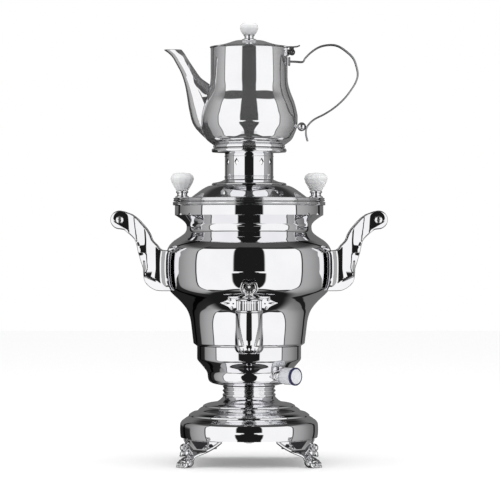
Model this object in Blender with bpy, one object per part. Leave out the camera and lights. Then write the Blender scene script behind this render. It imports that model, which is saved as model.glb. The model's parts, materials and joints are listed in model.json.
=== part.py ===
"""Electric table samovar with a teapot on its vented crown.

The samovar's own axis is X = 0, Y = 0 in the frame of the pieces, +Z up, and the tap
faces -Y. One empty carries everything and moves it so that the whole part is centred.
Run it with: blender --background --python part.py, or from the text editor.
"""

import math

import bmesh
import bpy
from mathutils import Matrix, Vector

MM = 0.001

# General
SEAT_GAP = 0.3 * MM
OVERRUN = 2.0 * MM
WELD = 0.001 * MM
WIDE_STEPS = 28
ROUND_STEPS = 24
SMALL_STEPS = 12
PIN_STEPS = 10
INSIDE_TOLERANCE_SHARE = 0.4
SMOOTH_ANGLE = math.radians(32.0)

# Base
BASE_RADIUS = 76.2 * MM
BASE_TOP_RADIUS = 28.6 * MM
BASE_WALL = 1.6 * MM
BASE_Z = 28.0 * MM
BASE_HEIGHT = 45.2 * MM
BASE_PLATE_THICKNESS = 2.0 * MM
BASE_BORE_RADIUS = 20.0 * MM
NECK_HEIGHT = 11.0 * MM
NECK_RADIUS = 29.2 * MM
NECK_BEAD = 1.2 * MM

# Outline of the base dome, shares of the way from its skirt to its top
BASE_SHARES = (
    (0.017, 0.0), (0.0, 0.177), (0.008, 0.327), (0.069, 0.423), (0.162, 0.498),
    (0.29, 0.615), (0.422, 0.65), (0.498, 0.727), (0.622, 0.825), (0.834, 0.858),
    (1.0, 0.975),
)
BASE_INSIDE_SHARES = ((0.0, 0.30), (0.19, 0.48), (0.40, 0.60), (0.57, 0.74), (0.88, 0.8))

# Feet
FOOT_COUNT = 4
FOOT_FIRST_ANGLE = math.radians(45.0)
FOOT_PLATE_THICKNESS = 3.2 * MM
FOOT_WING_ANGLE = math.radians(17.5)
FOOT_LEG_ANGLE = math.radians(3.0)
FOOT_ANKLE_OUT = 13.8 * MM
FOOT_ANKLE_Z = 12.0 * MM
PAW_OUT = 11.0 * MM
PAW_LENGTH = 20.0 * MM
PAW_WIDTH = 15.0 * MM
PAW_HEIGHT = 12.5 * MM
PAW_MIDDLE_SHARE = 0.4
TOE_COUNT = 4
TOE_RADIUS = 3.1 * MM
TOE_SET_BACK_SHARE = 0.6
TOE_SPREAD_SHARE = 5.0
TOE_STRETCH_SHARES = (1.3, 0.9, 1.15)
LEAF_HEIGHT = 14.0 * MM
LEAF_WIDTH = 9.0 * MM
LEAF_THICKNESS = 3.0 * MM
LEAF_Z = 11.0 * MM
# Outline of the leaf over the ankle: shares of its width out and of its height
LEAF_SHARES = ((-1.0, 0.0), (0.0, 0.0), (0.35, 0.35), (0.0, 0.75), (-0.5, 0.6), (-1.0, 0.4))
# Wing plate rows: share of the drop to the ankle, share of the wing's width left,
# share of the way out to the ankle
FOOT_ROW_SHARES = (
    (0.0, 1.0, 0.0), (0.28, 0.93, 0.0), (0.5, 0.8, 0.02), (0.64, 0.42, 0.22),
    (0.82, 0.12, 0.62), (1.0, 0.0, 1.0), (1.3, 0.02, 1.3),
)
FOOT_COLUMNS = 4
FOOT_SCREW_RADIUS = 1.5 * MM
FOOT_SCREW_HEAD_RADIUS = 2.0 * MM
FOOT_SCREW_HEAD = 1.2 * MM
FOOT_SCREW_OFFSET = math.radians(12.3)
FOOT_SCREW_DROP = 4.8 * MM
FOOT_SCREW_SEAT_SHARE = 0.1
LUG_THICKNESS = 3.0 * MM
LUG_WIDTH = 6.0 * MM
LUG_DROP = 8.5 * MM
LUG_GAP = 0.75 * MM

# Heater housing and what it holds
HOUSING_FOOT_RADIUS = 27.9 * MM
HOUSING_RADIUS = 57.3 * MM
HOUSING_WALL = 1.4 * MM
HOUSING_BOWL_HEIGHT = 30.2 * MM
HOUSING_BAND_HEIGHT = 13.4 * MM
HOUSING_SHARES = (
    (0.0, 0.0), (0.289, 0.06), (0.456, 0.103), (0.575, 0.209), (0.626, 0.477),
    (0.83, 0.755), (0.986, 0.937), (1.0, 1.0),
)
HEATER_CLEARANCE = 5.9 * MM
HEATER_BORE_RADIUS = 14.0 * MM
HEATER_THICKNESS = 5.5 * MM
HEATER_RIB = 2.5 * MM
STUD_RADIUS = 3.0 * MM
STUD_FLANGE_RADIUS = 10.0 * MM
STUD_FLANGE = 2.5 * MM
STUD_END_DROP = 7.0 * MM
NUT_RADIUS = 6.5 * MM
NUT_HEIGHT = 4.5 * MM
WASHER_RADIUS = 11.0 * MM
WASHER_THICKNESS = 1.2 * MM
HEX_SIDES = 6

# Thermostat
THERMOSTAT_ANGLE = math.radians(46.0)
THERMOSTAT_RISE_SHARE = 0.404
THERMOSTAT_DEPTH_SHARE = 0.5
THERMOSTAT_CASE_GAP = 3.36 * MM
THERMOSTAT_CASE_RADIUS = 8.0 * MM
THERMOSTAT_CASE_LENGTH = 16.0 * MM
THERMOSTAT_SHAFT_RADIUS = 3.0 * MM
BEZEL_RADIUS = 8.6 * MM
BEZEL_PROUD = 0.6 * MM
KNOB_RADIUS = 9.3 * MM
KNOB_LENGTH = 18.5 * MM
KNOB_FLUTES = 12
KNOB_FLUTE_DEPTH = 0.35 * MM
KNOB_SOCKET_DEPTH = 9.0 * MM
KNOB_RING_RADIUS = 9.9 * MM
KNOB_RING_LENGTH = 3.0 * MM
KNOB_RING_STEP = 1.1 * MM
KNOB_FACE_PROUD = 0.4 * MM

# Inlet for the mains cord, at the back of the housing
INLET_WIDTH = 27.0 * MM
INLET_HEIGHT = 19.0 * MM
INLET_DEPTH = 24.0 * MM
INLET_WALL = 2.0 * MM
INLET_FLANGE = 3.0 * MM
INLET_FLANGE_THICKNESS = 2.2 * MM
INLET_SOCKET_DEPTH = 16.0 * MM
INLET_PIN_LENGTH = 12.0 * MM
INLET_PIN_SIZE = 2.2 * MM
INLET_PIN_PITCH = 7.0 * MM
INLET_DROP = 4.5 * MM

# Boiler
WAIST_STEP = 3.7 * MM
WAIST_RISE = 2.7 * MM
BULGE_RADIUS = 91.8 * MM
BULGE_RISE = 83.5 * MM
THROAT_RADIUS = 68.8 * MM
THROAT_RISE = 43.5 * MM
COLLAR_RADIUS = 81.8 * MM
COLLAR_FLARE = 14.0 * MM
COLLAR_HEIGHT = 10.5 * MM
COLLAR_LIP = 4.3 * MM
COLLAR_STEP = 1.0 * MM
BOILER_WALL = 1.4 * MM
CUP_SEAM_RISE = 36.0 * MM
COLLAR_SEAM_RISE = 33.4 * MM
WAIST_SHARES = (
    (0.0, 0.0), (0.039, 0.114), (0.095, 0.299), (0.213, 0.429), (0.449, 0.543),
    (0.839, 0.678), (0.955, 0.78), (1.0, 1.0),
)
SHOULDER_SHARES = (
    (0.078, 0.464), (0.2, 0.575), (0.383, 0.671), (0.661, 0.768), (0.926, 0.892), (1.0, 1.0),
)
FLARE_SHARES = ((0.15, 0.4), (0.5, 0.72), (1.0, 1.0))
RIM_RING_RADIUS = 84.2 * MM
RIM_RING_HEIGHT = 3.7 * MM

# Side handles
PAD_THICKNESS = 4.0 * MM
PAD_HALF_WIDTH = 34.0 * MM
ARM_THICKNESS = 8.0 * MM
ARM_FOOT_SHARE = 0.696
ARM_RISE = 77.5 * MM
ARM_LOOP_OUT = 44.9 * MM
ARM_LOOP_RADIUS = 10.2 * MM
ARM_LOOP_STEPS = 9
ARM_LOOP_START = math.radians(112.0)
ARM_LOOP_END = math.radians(-88.0)
# Shares of the way from the pad to the loop, and of the rise
ARM_TOP_SHARES = (
    (-0.3, 0.57), (0.0, 0.575), (0.12, 0.645), (0.228, 0.71), (0.288, 0.795),
    (0.364, 0.87), (0.47, 0.944), (0.59, 1.02), (0.741, 1.085),
)
ARM_BOTTOM_SHARES = (
    (0.9, 0.86), (0.8, 0.813), (0.725, 0.775), (0.634, 0.711), (0.585, 0.63),
    (0.545, 0.523), (0.484, 0.4), (0.439, 0.316), (0.433, 0.25), (0.41, 0.147),
    (0.333, 0.081), (0.2, 0.026), (0.05, 0.0), (-0.3, 0.0),
)
ROD_RADIUS = 7.0 * MM
CAP_RADIUS = 4.1 * MM
CAP_THICKNESS = 1.8 * MM
CAP_SHANK_RADIUS = 2.2 * MM
CAP_SHANK_DEPTH = 12.0 * MM

# Tap
TAP_NECK_LENGTH = 4.1 * MM
TAP_SHANK_RADIUS = 5.0 * MM
TAP_NECK_RADIUS = 7.0 * MM
TAP_BORE_RADIUS = 2.8 * MM
TAP_SHANK_INSIDE = 1.0 * MM
TAP_NUT_RADIUS = 10.0 * MM
TAP_NUT_THICKNESS = 4.0 * MM
TAP_NUT_CLEARANCE = 0.86 * MM
TAP_PLATE_THICKNESS = 3.0 * MM
TAP_PLATE_OUT_SHARE = 0.7115
TAP_PLATE_LIFT = 9.6 * MM
TAP_PLATE_HALF_WIDTH = 29.6 * MM
TAP_PLATE_HALF_HEIGHT = 9.5 * MM
TAP_SEAL_RADIUS = 9.0 * MM
TAP_BODY_RADIUS = 14.6 * MM
TAP_BODY_HEIGHT = 15.2 * MM
TAP_BODY_RISE_SHARE = 0.4383
TAP_RIBS = 8
TAP_STEPS = 24
TAP_RIB_DEPTH = 0.5 * MM
TAP_PLUG_TOP_RADIUS = 7.0 * MM
TAP_PLUG_TAPER = 0.8 * MM
TAP_PLUG_CLEARANCE = 0.25 * MM
TAP_KEY_NECK_RADIUS = 4.0 * MM
TAP_KEY_NECK_HEIGHT = 4.55 * MM
TAP_KEY_HEIGHT = 13.4 * MM
TAP_KEY_WIDTH = 18.7 * MM
TAP_KEY_THICKNESS = 4.0 * MM
TAP_KEY_HOLE_RADIUS = 1.7 * MM
TAP_KEY_HOLE_OFFSET = 4.9 * MM
TAP_KEY_HOLE_RISE = 9.8 * MM
TAP_OUTLET_RADIUS = 15.7 * MM
TAP_OUTLET_TOP_RADIUS = 14.9 * MM
TAP_OUTLET_LENGTH = 43.3 * MM
TAP_OUTLET_MOUTH_RADIUS = 8.6 * MM
TAP_OUTLET_BORE_RADIUS = 6.5 * MM
# Half outline of the plate behind the tap: shares of its half width and half height
TAP_PLATE_SHARES = (
    (1.0, 0.0), (0.82, 0.16), (0.76, 0.47), (0.66, 0.42), (0.6, 0.22), (0.45, 0.5),
    (0.32, 1.0), (0.0, 1.05),
)
# Half outline of the key's shield: shares of its half width and height, from the neck up
TAP_KEY_SHARES = (
    (0.42, 0.0), (0.62, 0.16), (0.9, 0.36), (1.0, 0.62), (0.98, 0.86), (0.74, 1.0),
    (0.42, 0.97), (0.16, 0.86), (0.0, 0.84),
)
# Outlet hood: shares of the length down from the body, of the bulge over the top radius
TAP_OUTLET_SHARES = ((0.0, 0.0), (0.08, 0.0), (0.5, 0.85), (0.68, 1.0))
TAP_OUTLET_ROUND_STEPS = 3

# Lid of the boiler and its two grips
LID_RADIUS = 83.4 * MM
LID_RIM_HEIGHT = 4.0 * MM
LID_SEAT_WIDTH = 1.9 * MM
LID_DOME_RADIUS = 64.0 * MM
LID_DOME_RISE = 13.7 * MM
LID_WALL = 1.2 * MM
LID_EDGE_SHARE = 0.6
LID_SPIGOT_CLEARANCE = 0.5 * MM
LID_SPIGOT_DEPTH = 6.5 * MM
LID_OPENING_RADIUS = 22.0 * MM
LID_DOME_SHARES = ((0.0, 0.0), (0.187, 0.263), (0.52, 0.664), (0.80, 0.92), (1.0, 1.0))
GRIP_OFFSET = 73.7 * MM
GRIP_RADIUS = 13.3 * MM
GRIP_HEIGHT = 19.8 * MM
GRIP_FERRULE_RADIUS = 7.6 * MM
GRIP_FERRULE_HEIGHT = 7.2 * MM
GRIP_FACETS = 12
# Crystal grips: shares of the radius and of the height, from the ferrule up
GRIP_SHARES = (
    (0.47, 0.0), (0.62, 0.14), (0.9, 0.46), (1.0, 0.68), (0.92, 0.84), (0.66, 0.97),
    (0.0, 1.0),
)
# Ferrules: shares of the radius and of the height
FERRULE_SHARES = ((1.0, 0.0), (1.0, 0.16), (0.74, 0.3), (0.74, 0.62), (0.9, 0.8), (0.86, 1.0))

# Crown, the vented chimney under the teapot
CROWN_SEAT_RADIUS = 41.3 * MM
CROWN_RADIUS = 26.7 * MM
CROWN_WALL = 1.2 * MM
CROWN_HEIGHT = 36.0 * MM
CROWN_SKIRT_HEIGHT = 6.2 * MM
CROWN_SPIGOT_DEPTH = 4.5 * MM
CROWN_SPIGOT_CLEARANCE = 0.5 * MM
CROWN_SKIRT_SHARES = (
    (0.0, 0.0), (0.0, 0.16), (0.09, 0.36), (0.4, 0.5), (0.62, 0.62), (0.9, 0.88), (1.0, 1.0),
)
VENT_CENTRES = (46.0, 134.0, -46.0, -134.0)
VENT_PITCH = 15.0
VENTS_EACH_SIDE = 1
VENT_WIDTH = 5.4 * MM
VENT_HEIGHT = 8.2 * MM
VENT_DROP = 10.5 * MM

# Tray that carries the teapot
TRAY_RADIUS = 41.3 * MM
TRAY_THICKNESS = 4.0 * MM
TRAY_PLATE = 1.4 * MM
TRAY_SPIGOT_DEPTH = 6.0 * MM
TRAY_OPENING_RADIUS = 12.0 * MM
TRAY_ROLL = 0.9 * MM

# Teapot
POT_BASE_RADIUS = 39.6 * MM
POT_FOOT_HEIGHT = 3.2 * MM
POT_FOOT_CHAMFER = 1.2 * MM
POT_BULB_RADIUS = 53.5 * MM
POT_BULB_RISE = 28.5 * MM
POT_NECK_RADIUS = 42.4 * MM
POT_NECK_RISE = 46.0 * MM
POT_COLLAR_HEIGHT = 32.3 * MM
POT_WALL = 1.1 * MM
POT_FLOOR = 1.65 * MM
POT_BULB_SHARES = ((0.0, 0.0), (0.5, 0.21), (0.76, 0.445), (0.957, 0.716), (1.0, 1.0))
POT_NECK_SHARES = ((0.027, 0.128), (0.297, 0.396), (0.7, 0.65), (0.93, 0.84), (1.0, 1.0))

# Spout: shares of the reach from the axis and of the height of its mouth over the pot's foot:
# lower edge (reach, height), upper edge (reach, height), and the half width
SPOUT_REACH = 93.8 * MM
SPOUT_RISE = 105.0 * MM
SPOUT_HALF_WIDTH = 16.0 * MM
SPOUT_WALL = 1.0 * MM
SPOUT_SECTION_SHARES = (
    ((1.0, 1.0), (0.789, 1.0), 0.42),
    ((0.913, 0.937), (0.752, 0.955), 0.42),
    ((0.848, 0.842), (0.715, 0.9), 0.43),
    ((0.797, 0.753), (0.649, 0.812), 0.47),
    ((0.757, 0.644), (0.567, 0.71), 0.56),
    ((0.730, 0.518), (0.469, 0.644), 0.7),
    ((0.704, 0.373), (0.384, 0.571), 0.86),
    ((0.649, 0.206), (0.3, 0.46), 1.0),
    ((0.5, 0.06), (0.24, 0.34), 1.0),
)
SPOUT_SIDES = 12
SPOUT_RIDGE = 0.18
STRAINER_HOLE_RADIUS = 1.6 * MM
STRAINER_HOLE_STEPS = 6
STRAINER_CUT = 15.3 * MM
STRAINER_PITCH = 5.5 * MM
STRAINER_Z = 34.0 * MM
STRAINER_ROWS = 3
STRAINER_COLUMNS = 3

# Teapot handle, a flat strap: shares of its reach and rise, from its upper foot
STRAP_THICKNESS = 1.8 * MM
STRAP_WIDTH = 11.0 * MM
STRAP_BALL_SPACE = 9.19 * MM
STRAP_RISE = 87.0 * MM
STRAP_RISE_FROM_NECK = 17.9 * MM
STRAP_FOOT = 4.5 * MM
STRAP_FOOT_SHARE = -0.8
STRAP_SHARES = (
    (0.0, 0.0), (0.1, -0.004), (0.2, -0.006), (0.234, 0.039), (0.33, 0.122), (0.448, 0.185),
    (0.589, 0.208), (0.706, 0.191), (0.825, 0.122), (0.919, 0.039), (0.966, -0.067),
    (0.984, -0.171), (0.955, -0.266), (0.883, -0.371), (0.789, -0.476), (0.66, -0.58),
    (0.517, -0.664), (0.376, -0.728), (0.294, -0.79), (0.252, -0.853), (0.247, -0.926),
    (0.27, -1.01),
)
BALL_DROP = 8.0 * MM

# Teapot lid, its hinge and its grip
POT_LID_RADIUS = 43.4 * MM
POT_LID_RIM = 1.5 * MM
POT_LID_RISE = 7.0 * MM
POT_LID_WALL = 1.1 * MM
POT_LID_SPIGOT_DEPTH = 4.5 * MM
POT_LID_SPIGOT_CLEARANCE = 0.6 * MM
POT_LID_SPIGOT_TAPER = 1.2 * MM
POT_LID_SPIGOT_WALL_SHARE = 0.6
POT_LID_SHARES = ((0.0, 0.0), (0.3, 0.25), (0.52, 0.56), (0.76, 0.95), (1.0, 1.0))
HINGE_REACH = 47.5 * MM
HINGE_DROP = 4.3 * MM
KNUCKLE_RADIUS = 3.2 * MM
KNUCKLE_HALF_WIDTH = 2.7 * MM
EAR_THICKNESS = 2.4 * MM
BRACKET_BACK_SHARE = 0.7
BRACKET_ROOT = 4.2 * MM
BRACKET_ARM_SHARE = 0.8
HINGE_PIN_RADIUS = 1.2 * MM
HINGE_SIDE_GAP = 0.3 * MM
THUMB_REACH = 6.6 * MM
THUMB_RISE = 1.6 * MM
THUMB_THICKNESS = 1.3 * MM
THUMB_ROOT_SHARE = 0.6
THUMB_BEND_SHARES = (0.5, 0.3)
POT_GRIP_RADIUS = 10.45 * MM
POT_GRIP_HEIGHT = 13.2 * MM
POT_FERRULE_RADIUS = 7.7 * MM
POT_FERRULE_HEIGHT = 5.8 * MM
POT_GRIP_SHARES = (
    (0.62, 0.0), (0.86, 0.24), (1.0, 0.53), (0.96, 0.76), (0.72, 0.95), (0.0, 1.0),
)

# Heights and places that follow from the sizes above
BASE_TOP_Z = BASE_Z + BASE_HEIGHT
FOOT_SCREW_Z = BASE_Z - FOOT_SCREW_DROP
FOOT_ANKLE_RADIUS = BASE_RADIUS + FOOT_ANKLE_OUT
PAW_REACH = FOOT_ANKLE_RADIUS + PAW_OUT
NECK_Z = BASE_TOP_Z + SEAT_GAP
HOUSING_Z = NECK_Z + NECK_HEIGHT + SEAT_GAP
BAND_Z = HOUSING_Z + HOUSING_BOWL_HEIGHT
THERMOSTAT_Z = HOUSING_Z + HOUSING_BOWL_HEIGHT * THERMOSTAT_RISE_SHARE
INLET_Z = BAND_Z - INLET_DROP
HEATER_RADIUS = HOUSING_RADIUS - HOUSING_WALL - HEATER_CLEARANCE
BOILER_FOOT_RADIUS = HOUSING_RADIUS + SEAT_GAP
WAIST_RADIUS = BOILER_FOOT_RADIUS + WAIST_STEP
BOILER_Z = BAND_Z + HOUSING_BAND_HEIGHT + SEAT_GAP
WAIST_Z = BOILER_Z + WAIST_RISE
BULGE_Z = WAIST_Z + BULGE_RISE
THROAT_Z = BULGE_Z + THROAT_RISE
COLLAR_Z = THROAT_Z + COLLAR_FLARE
LEDGE_Z = COLLAR_Z + COLLAR_HEIGHT
BOILER_TOP_Z = LEDGE_Z + COLLAR_LIP
LID_Z = BOILER_TOP_Z + SEAT_GAP
LID_RIM_Z = LID_Z + LID_RIM_HEIGHT
CROWN_Z = LID_RIM_Z + LID_DOME_RISE + SEAT_GAP
TRAY_Z = CROWN_Z + CROWN_HEIGHT + SEAT_GAP
POT_Z = TRAY_Z + TRAY_THICKNESS + SEAT_GAP
POT_BULB_Z = POT_Z + POT_FOOT_HEIGHT + POT_BULB_RISE
POT_NECK_Z = POT_BULB_Z + POT_NECK_RISE
POT_TOP_Z = POT_NECK_Z + POT_COLLAR_HEIGHT
STRAP_Z = POT_NECK_Z + STRAP_RISE_FROM_NECK
BALL_Z = POT_BULB_Z - BALL_DROP
POT_LID_Z = POT_TOP_Z + SEAT_GAP
POT_LID_TOP_Z = POT_LID_Z + POT_LID_RIM + POT_LID_RISE
HINGE_Z = POT_TOP_Z - HINGE_DROP
PAD_OUTER_RADIUS = BULGE_RADIUS + SEAT_GAP + PAD_THICKNESS
ARM_FOOT_Z = WAIST_Z + BULGE_RISE * ARM_FOOT_SHARE
ARM_LOOP_REACH = PAD_OUTER_RADIUS + ARM_LOOP_OUT
ARM_MIDDLE_Y = PAD_HALF_WIDTH - ARM_THICKNESS / 2
LOOP_Z = ARM_FOOT_Z + ARM_RISE
TAP_PLATE_REACH = WAIST_RADIUS + (BULGE_RADIUS - WAIST_RADIUS) * TAP_PLATE_OUT_SHARE
TAP_REACH = TAP_PLATE_REACH + SEAT_GAP + TAP_PLATE_THICKNESS + TAP_NECK_LENGTH + TAP_BODY_RADIUS
TAP_BODY_Z = WAIST_Z + BULGE_RISE * TAP_BODY_RISE_SHARE
TAP_PLATE_Z = TAP_BODY_Z + TAP_PLATE_LIFT
TAP_FRONT = TAP_REACH + TAP_OUTLET_RADIUS
AXIS_Y = (TAP_FRONT - BULGE_RADIUS) / 2
TAP_SHANK_Z = TAP_BODY_Z + TAP_BODY_HEIGHT / 2

# Finishes: colour, roughness, metallic
CHROME = ("chrome", (0.78, 0.79, 0.81), 0.06, 1.0)
STEEL = ("brushed_steel", (0.58, 0.58, 0.60), 0.35, 1.0)
ACRYLIC = ("clear_acrylic", (0.93, 0.94, 0.96), 0.08, 0.0)
WHITE_PLASTIC = ("white_plastic", (0.86, 0.87, 0.89), 0.3, 0.0)
BLACK_PLASTIC = ("black_plastic", (0.02, 0.02, 0.022), 0.4, 0.0)
NAVY_PLASTIC = ("navy_plastic", (0.02, 0.02, 0.09), 0.3, 0.0)
SILICONE = ("seal_silicone", (0.75, 0.75, 0.74), 0.6, 0.0)


# Outlines

def radius_at(outline, height):
    """Where an upward outline is at a height."""
    for (r0, z0), (r1, z1) in zip(outline, outline[1:]):
        if z0 <= height <= z1:
            return r0 + (r1 - r0) * (height - z0) / (z1 - z0)
    return outline[-1][0]


def between_heights(outline, low, high):
    """The part of an upward outline from one height to another."""
    inside = [(r, z) for r, z in outline if low + WELD < z < high - WELD]
    return [(radius_at(outline, low), low)] + inside + [(radius_at(outline, high), high)]


def stretch(start, end, shares):
    """Points (r, z) between two stations, from shares of the way in r and in z."""
    (r0, z0), (r1, z1) = start, end
    return [(r0 + (r1 - r0) * u, z0 + (z1 - z0) * v) for u, v in shares]


def inset(points, wall):
    """An open outline that runs upward, moved inward by the wall."""
    moved = []
    last = len(points) - 1
    for i, (r, z) in enumerate(points):
        before = points[max(i - 1, 0)]
        after = points[min(i + 1, last)]
        normals = []
        for (ra, za), (rb, zb) in ((before, (r, z)), ((r, z), after)):
            length = math.hypot(rb - ra, zb - za)
            if length > 0.0:
                normals.append(Vector((za - zb, rb - ra)) / length)
        total = sum(normals, Vector((0.0, 0.0)))
        bisector = total.normalized()
        reach = wall / max(bisector.dot(normals[0]), 0.7)
        moved.append((r + bisector.x * reach, z + bisector.y * reach))
    return thinned(moved, wall * INSIDE_TOLERANCE_SHARE)


def thinned(points, tolerance):
    """An outline without the points that lie within the tolerance of its chords."""
    if len(points) < 3:
        return list(points)
    start, end = Vector(points[0]), Vector(points[-1])
    chord = end - start
    normal = Vector((-chord.y, chord.x)).normalized()
    offsets = [abs((Vector(p) - start).dot(normal)) for p in points[1:-1]]
    farthest = max(offsets)
    if farthest < tolerance:
        return [points[0], points[-1]]
    split = offsets.index(farthest) + 1
    return thinned(points[:split + 1], tolerance)[:-1] + thinned(points[split:], tolerance)


def smooth_path(points, steps):
    """Points on a Catmull-Rom curve through the given points."""
    path = []
    count = len(points)
    for i in range(count - 1):
        p0 = Vector(points[max(i - 1, 0)])
        p1 = Vector(points[i])
        p2 = Vector(points[i + 1])
        p3 = Vector(points[min(i + 2, count - 1)])
        for s in range(steps):
            t = s / steps
            a = 2 * p1 + (p2 - p0) * t
            b = (2 * p0 - 5 * p1 + 4 * p2 - p3) * t * t
            c = (3 * p1 - p0 - 3 * p2 + p3) * t * t * t
            path.append(tuple((a + b + c) / 2))
    path.append(tuple(points[-1]))
    return path


def mirrored(half):
    """A closed outline from its half at x >= 0, both ends on the middle line."""
    left = [(-x, z) for x, z in reversed(half) if x > WELD]
    return list(half) + left


# Meshes

def turned(outline, steps=ROUND_STEPS):
    """A solid of revolution about Z from a closed outline of (r, z) points."""
    bm = bmesh.new()
    verts = [bm.verts.new((r, 0.0, z)) for r, z in outline]
    edges = [bm.edges.new((a, b)) for a, b in zip(verts, verts[1:] + verts[:1])]
    on_axis = [e for e in edges if all(abs(v.co.x) < WELD for v in e.verts)]
    bmesh.ops.delete(bm, geom=on_axis, context="EDGES")
    bmesh.ops.spin(
        bm, geom=bm.verts[:] + bm.edges[:], cent=(0, 0, 0), axis=(0, 0, 1),
        angle=math.tau, steps=steps, use_merge=True,
    )
    bmesh.ops.remove_doubles(bm, verts=bm.verts, dist=WELD)
    bmesh.ops.recalc_face_normals(bm, faces=bm.faces)
    return bm


def prism(outline, depth):
    """A closed outline of (x, z) points, extruded along Y, centred on Y = 0."""
    bm = bmesh.new()
    face = bm.faces.new([bm.verts.new((x, -depth / 2, z)) for x, z in outline])
    out = bmesh.ops.extrude_face_region(bm, geom=[face])
    moved = [g for g in out["geom"] if isinstance(g, bmesh.types.BMVert)]
    bmesh.ops.translate(bm, verts=moved, vec=(0, depth, 0))
    bmesh.ops.recalc_face_normals(bm, faces=bm.faces)
    return bm


def box(size, centre=(0, 0, 0)):
    """A block of the given size."""
    bm = bmesh.new()
    bmesh.ops.create_cube(bm, size=1.0)
    bmesh.ops.scale(bm, verts=bm.verts, vec=size)
    bmesh.ops.translate(bm, verts=bm.verts, vec=centre)
    return bm


def rod(radius, start, end, steps=SMALL_STEPS):
    """A cylinder between two points."""
    start, end = Vector(start), Vector(end)
    bm = bmesh.new()
    bmesh.ops.create_cone(
        bm, cap_ends=True, segments=steps, radius1=radius, radius2=radius,
        depth=(end - start).length,
    )
    turn = (end - start).to_track_quat("Z", "Y").to_matrix().to_4x4()
    bmesh.ops.transform(bm, matrix=Matrix.Translation((start + end) / 2) @ turn, verts=bm.verts)
    return bm


def ball(radius, centre, stretch_by=(1, 1, 1), rows=6, columns=10):
    """A ball or an egg round a centre."""
    bm = bmesh.new()
    bmesh.ops.create_uvsphere(bm, u_segments=columns, v_segments=rows, radius=radius)
    bmesh.ops.scale(bm, verts=bm.verts, vec=stretch_by)
    bmesh.ops.translate(bm, verts=bm.verts, vec=centre)
    return bm


def lofted(rings, closed_ends=True):
    """A tube through rings of points, each ring with as many points."""
    bm = bmesh.new()
    loops = [[bm.verts.new(p) for p in ring] for ring in rings]
    count = len(loops[0])
    for low, high in zip(loops, loops[1:]):
        for i in range(count):
            j = (i + 1) % count
            bm.faces.new((low[i], low[j], high[j], high[i]))
    if closed_ends:
        bm.faces.new(loops[0])
        bm.faces.new(loops[-1])
    bmesh.ops.recalc_face_normals(bm, faces=bm.faces)
    return bm


def fluted(bm, count, depth, bore):
    """Draws a turned mesh in flutes round its axis, outside its bore."""
    for vert in bm.verts:
        angle = math.atan2(vert.co.y, vert.co.x)
        radius = math.hypot(vert.co.x, vert.co.y)
        if radius > bore + WELD:
            share = 1.0 - depth * (0.5 - 0.5 * math.cos(count * angle)) / radius
            vert.co.x *= share
            vert.co.y *= share
    return bm


# Objects

def finish(spec):
    """The material of a finish, made once."""
    name, colour, roughness, metallic = spec
    made = bpy.data.materials.get(name)
    if made is None:
        made = bpy.data.materials.new(name)
        made.use_nodes = True
        shader = made.node_tree.nodes["Principled BSDF"]
        shader.inputs["Base Color"].default_value = (*colour, 1.0)
        shader.inputs["Roughness"].default_value = roughness
        shader.inputs["Metallic"].default_value = metallic
        made.diffuse_color = (*colour, 1.0)
    return made


def new_object(name, bm):
    """An object of the mesh, linked to the scene."""
    mesh = bpy.data.meshes.new(name)
    bm.to_mesh(mesh)
    bm.free()
    obj = bpy.data.objects.new(name, mesh)
    bpy.context.scene.collection.objects.link(obj)
    return obj


def holder(name, parent=None, place=(0, 0, 0)):
    """An empty on a joint's axis, placed in the samovar's frame."""
    empty = bpy.data.objects.new(name, None)
    bpy.context.scene.collection.objects.link(empty)
    empty["place"] = place
    empty.parent = parent
    origin = Vector(parent["place"]) if parent else Vector((0, 0, 0))
    empty.location = Vector(place) - origin
    return empty


def piece(name, bm, spec, parent, turn=None):
    """A piece whose mesh is in the samovar's frame, carried by a holder."""
    if turn is not None:
        bmesh.ops.transform(bm, matrix=turn, verts=bm.verts)
    shift = Matrix.Translation(-Vector(parent["place"]))
    bmesh.ops.transform(bm, matrix=shift, verts=bm.verts)
    obj = new_object(name, bm)
    obj.data.materials.append(finish(spec))
    obj.data.shade_smooth()
    obj.data.set_sharp_from_angle(angle=SMOOTH_ANGLE)
    obj.parent = parent
    return obj


def shape(target, operation, bm, turn=None):
    """Joins a helper shape to a piece, or cuts it away, with a Boolean."""
    if turn is not None:
        bmesh.ops.transform(bm, matrix=turn, verts=bm.verts)
    shift = Matrix.Translation(-Vector(target.parent["place"]))
    bmesh.ops.transform(bm, matrix=shift, verts=bm.verts)
    guide = new_object(target.name + "_guide", bm)
    guide.parent = target
    guide.hide_render = True
    guide.display_type = "WIRE"
    step = target.modifiers.new(operation.lower(), "BOOLEAN")
    step.operation = operation
    step.solver = "EXACT"
    step.object = guide
    return target


def turn_z(angle):
    """A turn about the samovar's axis."""
    return Matrix.Rotation(angle, 4, "Z")


# Base

def base_outline():
    """Outer side of the base dome, from the skirt up."""
    return stretch((BASE_RADIUS, BASE_Z), (BASE_TOP_RADIUS, BASE_TOP_Z), BASE_SHARES)


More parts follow.
